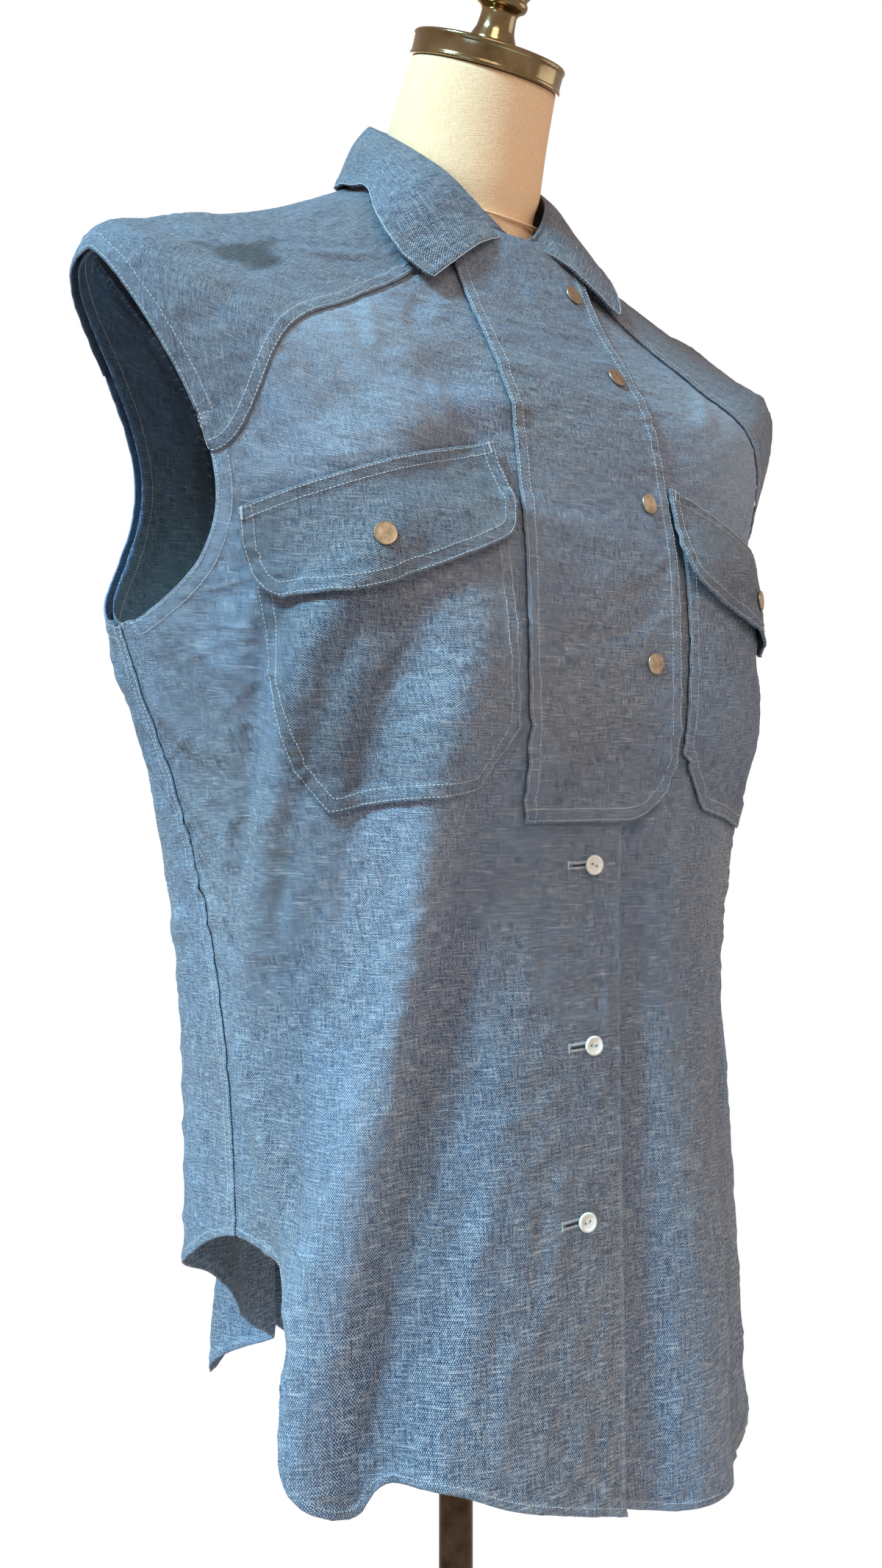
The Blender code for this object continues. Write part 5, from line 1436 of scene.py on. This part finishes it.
def buttonhole(panel, x, s, slit_shade, edges):
    """A level slit under a button, with stitches along both sides and a bar at its far end."""
    s = np.full(12, s)
    centre, normals = skin(u_at(x + np.linspace(*BUTTONHOLE, 12), s), s, 0.0006)
    centre, normal = panel.onto(centre)[0], normals[5]
    # the slit is drawn as near-black strips, painted shade in the opening
    for start, end in zip(centre[1:-1], centre[2:]):
        slit_shade.stitch(start, end, normal, 0.0013, 0.5)
    along = centre[-1] - centre[0]
    aside = np.cross(normal, unit(along))
    for sign in (-1, 1):
        places = panel.onto(resampled(centre, BUTTONHOLE_STEP) + aside * sign * BUTTONHOLE_ASIDE)[0]
        for place in places:
            reach = aside * 0.0009 * rng.uniform(0.8, 1.15)
            edges.stitch(place - reach, place + reach, normal, 0.00046)
    edges.bar(centre[0] - along * 0.03, aside, normal, 0.0052, 0.0015)


def buttons(panel):
    sewing, slit_shade, edges = Thread("button_threads"), Thread("buttonhole_slit_shade_strips"), Thread("buttonhole_stitches")
    for k, (x, s) in enumerate(BUTTONS):
        button(panel, k + 1, x, s, sewing)
        buttonhole(panel, x, s, slit_shade, edges)
    sewing.object()
    # the slits are near-black painted shade
    slit_shade.object(slit_shade_finish())
    edges.object()


# ---------------------------------------------------------------- dress form and stand

CAP_TILT = math.radians(23)  # the neck leans forward
CAP_CENTRE = Vector((0, -0.0268, 1.5597))  # middle of the cap's lower face
CAP_RADIUS, CAP_HEIGHT = 0.0483, 0.0155
NECK_TOP_RADIUS = 0.0462
FORM_BOTTOM = 0.900
POLE_RADIUS = 0.0108
BASE_RADIUS, BASE_HEIGHT = 0.200, 0.022
HUB_RADIUS, HUB_HEIGHT = 0.024, 0.060

# Sections of the dress form from its hips to its shoulders: the cloth's ring s that it lies in, and its share
# of that ring's width, of its depth in front and of its depth at the back.
FORM_SECTIONS = (
    (1.30, 0.82, 0.72, 0.74), (1.65, 0.86, 0.76, 0.78), (2.00, 0.76, 0.72, 0.72), (2.50, 0.70, 0.72, 0.72),
    (3.00, 0.74, 0.84, 0.82), (3.50, 0.73, 0.93, 0.90), (4.00, 0.69, 0.94, 0.93), (4.60, 0.67, 0.94, 0.94),
    (5.30, 0.68, 0.93, 0.95), (6.00, 0.67, 0.93, 0.955), (6.60, 0.72, 0.94, 0.96), (7.20, 0.86, 0.95, 0.965),
)
FORM_SHOULDERS = (7.80, 8.30, 8.65)  # from here up the cloth rests on the form
NECK_RINGS = (  # height, y, radius
    (1.4815, 0.0010, 0.0525), (1.5050, -0.0060, 0.0512), (1.5320, -0.0150, 0.0490),
)
FORM_SEGMENTS, FORM_ROWS = 128, 110
UNDER_CLOTH = 0.0045  # how much lower than its rings the form is
SEAM_RING = (1.4860, -0.0004, 0.0530)  # height, y and radius of the seam round the neck


def neck_ring(height, y, radius, u):
    """A ring of the neck, level with the tilted cap."""
    tilt = np.array(Matrix.Rotation(CAP_TILT, 3, "X"))
    flat = np.stack((radius * np.sin(np.pi * u), -radius * np.cos(np.pi * u), 0 * u), -1)
    return np.array((0, y, height)) + flat @ tilt.T


def dress_form():
    """One closed form from the hips to the top of the neck."""
    u = np.linspace(0, 2, FORM_SEGMENTS, endpoint=False)
    in_front = np.cos(np.pi * u)
    sections = []
    for s, width, front_depth, back_depth in FORM_SECTIONS:
        ring, point = ring_at(np.full_like(u, s)), bare(u, np.full_like(u, s))
        width = width - 0.13 * float(bump((s - 5.2) / 1.9))
        depth = np.where(in_front > 0, front_depth, back_depth)
        x = blend(ring["x_middle"], point[:, 0], width)
        y = blend(ring["y_side"], point[:, 1], depth)
        sections.append(np.stack((x, y, point[:, 2] - UNDER_CLOTH), -1))
    for s in FORM_SHOULDERS:
        s = np.full_like(u, s)
        out = -0.0040 - 0.0032 * smooth(in_front / 0.5)
        sections.append(folded(u, s) + out_of(folded, u, s) * out[:, None])
    sections += [neck_ring(*row, u) for row in NECK_RINGS]
    under_cap = CAP_CENTRE - Matrix.Rotation(CAP_TILT, 3, "X") @ Vector((0, 0, 0.0003))
    sections.append(neck_ring(under_cap.z, under_cap.y, NECK_TOP_RADIUS, u))
    foot = sections[0] * (1, 1, 0) + (0, 0, FORM_BOTTOM)
    rows = through(np.array(sections), np.linspace(0, 1, FORM_ROWS) * (len(sections) - 1))
    rows = np.concatenate(([foot], rows))
    add("form_canvas", capped("form_canvas", rows, rows[0].mean(0), rows[-1].mean(0)), "canvas", "dress_form")


def neck_seam(count=160, sides=8, radius=0.0009):
    """The raised seam round the base of the neck."""
    path = neck_ring(*SEAM_RING, np.linspace(0, 2, count, endpoint=False))
    tangent = unit(np.roll(path, -1, 0) - np.roll(path, 1, 0))
    first = unit(np.cross(tangent, (0.03, 0.02, 1.0)))
    second = np.cross(tangent, first)
    angle = np.linspace(0, 2 * np.pi, sides, endpoint=False)[:, None]
    rings = path[:, None] + radius * (first[:, None] * np.cos(angle) + second[:, None] * np.sin(angle))
    index = numbered(count, sides, ring=True)
    faces = quads(np.concatenate((index, index[:1]))).tolist()
    add("form_neck_seam", mesh_of("form_neck_seam", rings.reshape(-1, 3), faces), "canvas")


def neck_cap_and_finial():
    place = Matrix.Translation(CAP_CENTRE) @ Matrix.Rotation(CAP_TILT, 4, "X")
    r, h = CAP_RADIUS, CAP_HEIGHT
    cap = (
        (0, 0), (r * 0.96, 0), (r, 0.0008), (r, 0.0022), (r * 0.985, 0.0030), (r * 0.985, h - 0.0040),
        (r, h - 0.0030), (r, h - 0.0012), (r * 0.97, h), (r * 0.5, h + 0.0012), (0, h + 0.0015),
    )
    add("cap_rim", lathe("cap_rim", cap, place, 128), "antique_brass", "neck_cap")
    finial = (
        (0, 0), (0.0145, 0), (0.0152, 0.001), (0.0152, 0.003), (0.0135, 0.0065), (0.0119, 0.010),
        (0.0112, 0.016), (0.0112, 0.020), (0.0150, 0.0222), (0.0162, 0.0245), (0.0162, 0.0265),
        (0.0148, 0.0285), (0.0158, 0.0305), (0.0178, 0.033), (0.0195, 0.041), (0.0182, 0.051),
        (0.0135, 0.058), (0.0070, 0.062), (0, 0.0632),
    )
    on_cap = place @ Matrix.Translation((0, 0, h + 0.0019))
    add("finial_knob", lathe("finial_knob", finial, on_cap), "antique_brass", "finial")


def stand():
    rim, hub, top = BASE_RADIUS, HUB_RADIUS, BASE_HEIGHT + HUB_HEIGHT
    base = (
        (0, 0), (rim - 0.004, 0), (rim, 0.002), (rim, 0.010), (rim - 0.004, 0.0140), (rim - 0.012, 0.0150),
        (rim - 0.016, 0.0164), (0.120, 0.0185), (0.060, 0.0205), (0.045, BASE_HEIGHT),
        (hub + 0.006, BASE_HEIGHT + 0.004), (hub + 0.002, BASE_HEIGHT + 0.010), (hub, BASE_HEIGHT + 0.018),
        (hub, top - 0.006), (hub + 0.0012, top - 0.005), (hub + 0.0012, top - 0.002), (hub - 0.002, top),
        (0, top),
    )
    add("stand_base", lathe("stand_base", base, segments=128), "bronzed_iron", "base")
    low, high = top + 0.0003, FORM_BOTTOM - 0.0003
    heights = (low, low + 0.02, high - 0.012, high)
    pole = ((0, low), *((POLE_RADIUS, height) for height in heights), (0, high))
    add("stand_pole", lathe("stand_pole", pole, cuts=0), "bronzed_steel", "pole")


# ---------------------------------------------------------------- studio

TOWARDS = Vector((-0.643, -0.766, 0.0))  # from the pole to the camera
ACROSS = Vector((0.766, -0.643, 0.0))
DISTANCE, SIDEWAYS, HEIGHT = 0.946, -0.0093, 1.12  # the camera's place: from the pole, along ACROSS and up
SENSOR, LENS, YAW = 36.0, 60.72, math.radians(-40)


def camera():
    data = bpy.data.cameras.new("camera")
    data.sensor_width, data.sensor_fit, data.lens = SENSOR, "HORIZONTAL", LENS
    made = bpy.data.objects.new("camera", data)
    made.location = TOWARDS * DISTANCE + ACROSS * SIDEWAYS + Vector((0, 0, HEIGHT))
    made.rotation_euler = (math.radians(90), 0, YAW)
    bpy.context.scene.collection.objects.link(made)
    bpy.context.scene.camera = made


LIGHTS = (  # name, place, where it points, size, energy, colour
    ("key", (-2.56, -0.20, 3.46), (0, 0, 1.10), 0.8, 259, (0.31, 0.64, 0.83)),
    ("low", (-2.30, -0.70, 0.95), (0, 0, 1.05), 0.8, 7, (0.30, 0.55, 0.95)),
    ("sky", (-0.9, -2.0, 3.0), (0, 0, 1.25), 1.2, 17, (1.0, 0.93, 0.84)),
    ("side", (2.0, -1.0, 1.6), (0, 0, 1.10), 1.6, 8, (0.96, 0.97, 1.0)),
    ("back", (1.6, 2.6, 2.2), (0, 0, 1.2), 2.0, 16, (1.0, 0.95, 0.9)),
)


def lights():
    for name, place, aim, size, energy, colour in LIGHTS:
        data = bpy.data.lights.new(name, "AREA")
        data.shape, data.size, data.energy, data.color = "DISK", size, energy, colour
        made = bpy.data.objects.new(name, data)
        made.location = place
        made.rotation_euler = (Vector(aim) - Vector(place)).to_track_quat("-Z", "Y").to_euler()
        bpy.context.scene.collection.objects.link(made)


def background():
    """White behind the object, and a warm fill on it."""
    world = bpy.data.worlds.new("studio")
    world.use_nodes = True
    tree = world.node_tree
    shown, fill = tree.nodes["Background"], tree.nodes.new("ShaderNodeBackground")
    for node, colour, strength in ((shown, (1.0, 1.0, 1.0, 1.0), 1.0), (fill, (1.0, 0.82, 0.73, 1.0), 0.51)):
        node.inputs["Color"].default_value = colour
        node.inputs["Strength"].default_value = strength
    path, mix = tree.nodes.new("ShaderNodeLightPath"), tree.nodes.new("ShaderNodeMixShader")
    tree.links.new(path.outputs["Is Camera Ray"], mix.inputs[0])
    tree.links.new(fill.outputs[0], mix.inputs[1])
    tree.links.new(shown.outputs[0], mix.inputs[2])
    tree.links.new(mix.outputs[0], tree.nodes["World Output"].inputs["Surface"])
    bpy.context.scene.world = world
    bpy.context.scene.view_settings.view_transform = "Standard"


FLOOR_RADIUS = 1.1


def floor():
    f = Finish("floor")
    tone = f.noise(f.position(), 3.0, 3.0)
    angle = np.linspace(0, 2 * np.pi, 96, endpoint=False)
    rim = np.stack((FLOOR_RADIUS * np.cos(angle), FLOOR_RADIUS * np.sin(angle), 0 * angle - 0.0005), -1)
    mesh = mesh_of("floor", rim, [list(range(len(rim)))])
    mesh.materials.append(f.done(f.mixed(tone, (0.80, 0.80, 0.79), (0.84, 0.84, 0.83)), 0.9))
    disc = bpy.data.objects.new("floor", mesh)
    bpy.context.scene.collection.objects.link(disc)


def shirt():
    right = front("shirt_front_right", -1, placket_x, FRONT_HEM, False, (0.37, 0.82), 0.205)
    front("shirt_front_left", 1, lambda s: UNDERLAP, LEFT_HEM, True, (0.39, 0.82), 0.215)
    back()
    yoke()
    on_overlay = overlay()
    on_flap = {}
    for name, side, drop in (("right", -1, 0.0), ("left", 1, LEFT_DROP)):
        pocket(name, side, drop)
        on_flap[name] = flap(name, side, drop)
        facing(name, side)
    collar()
    snaps(on_overlay, on_flap)
    buttons(right)


camera()
shirt()
dress_form()
neck_seam()
neck_cap_and_finial()
stand()
lights()
background()
floor()
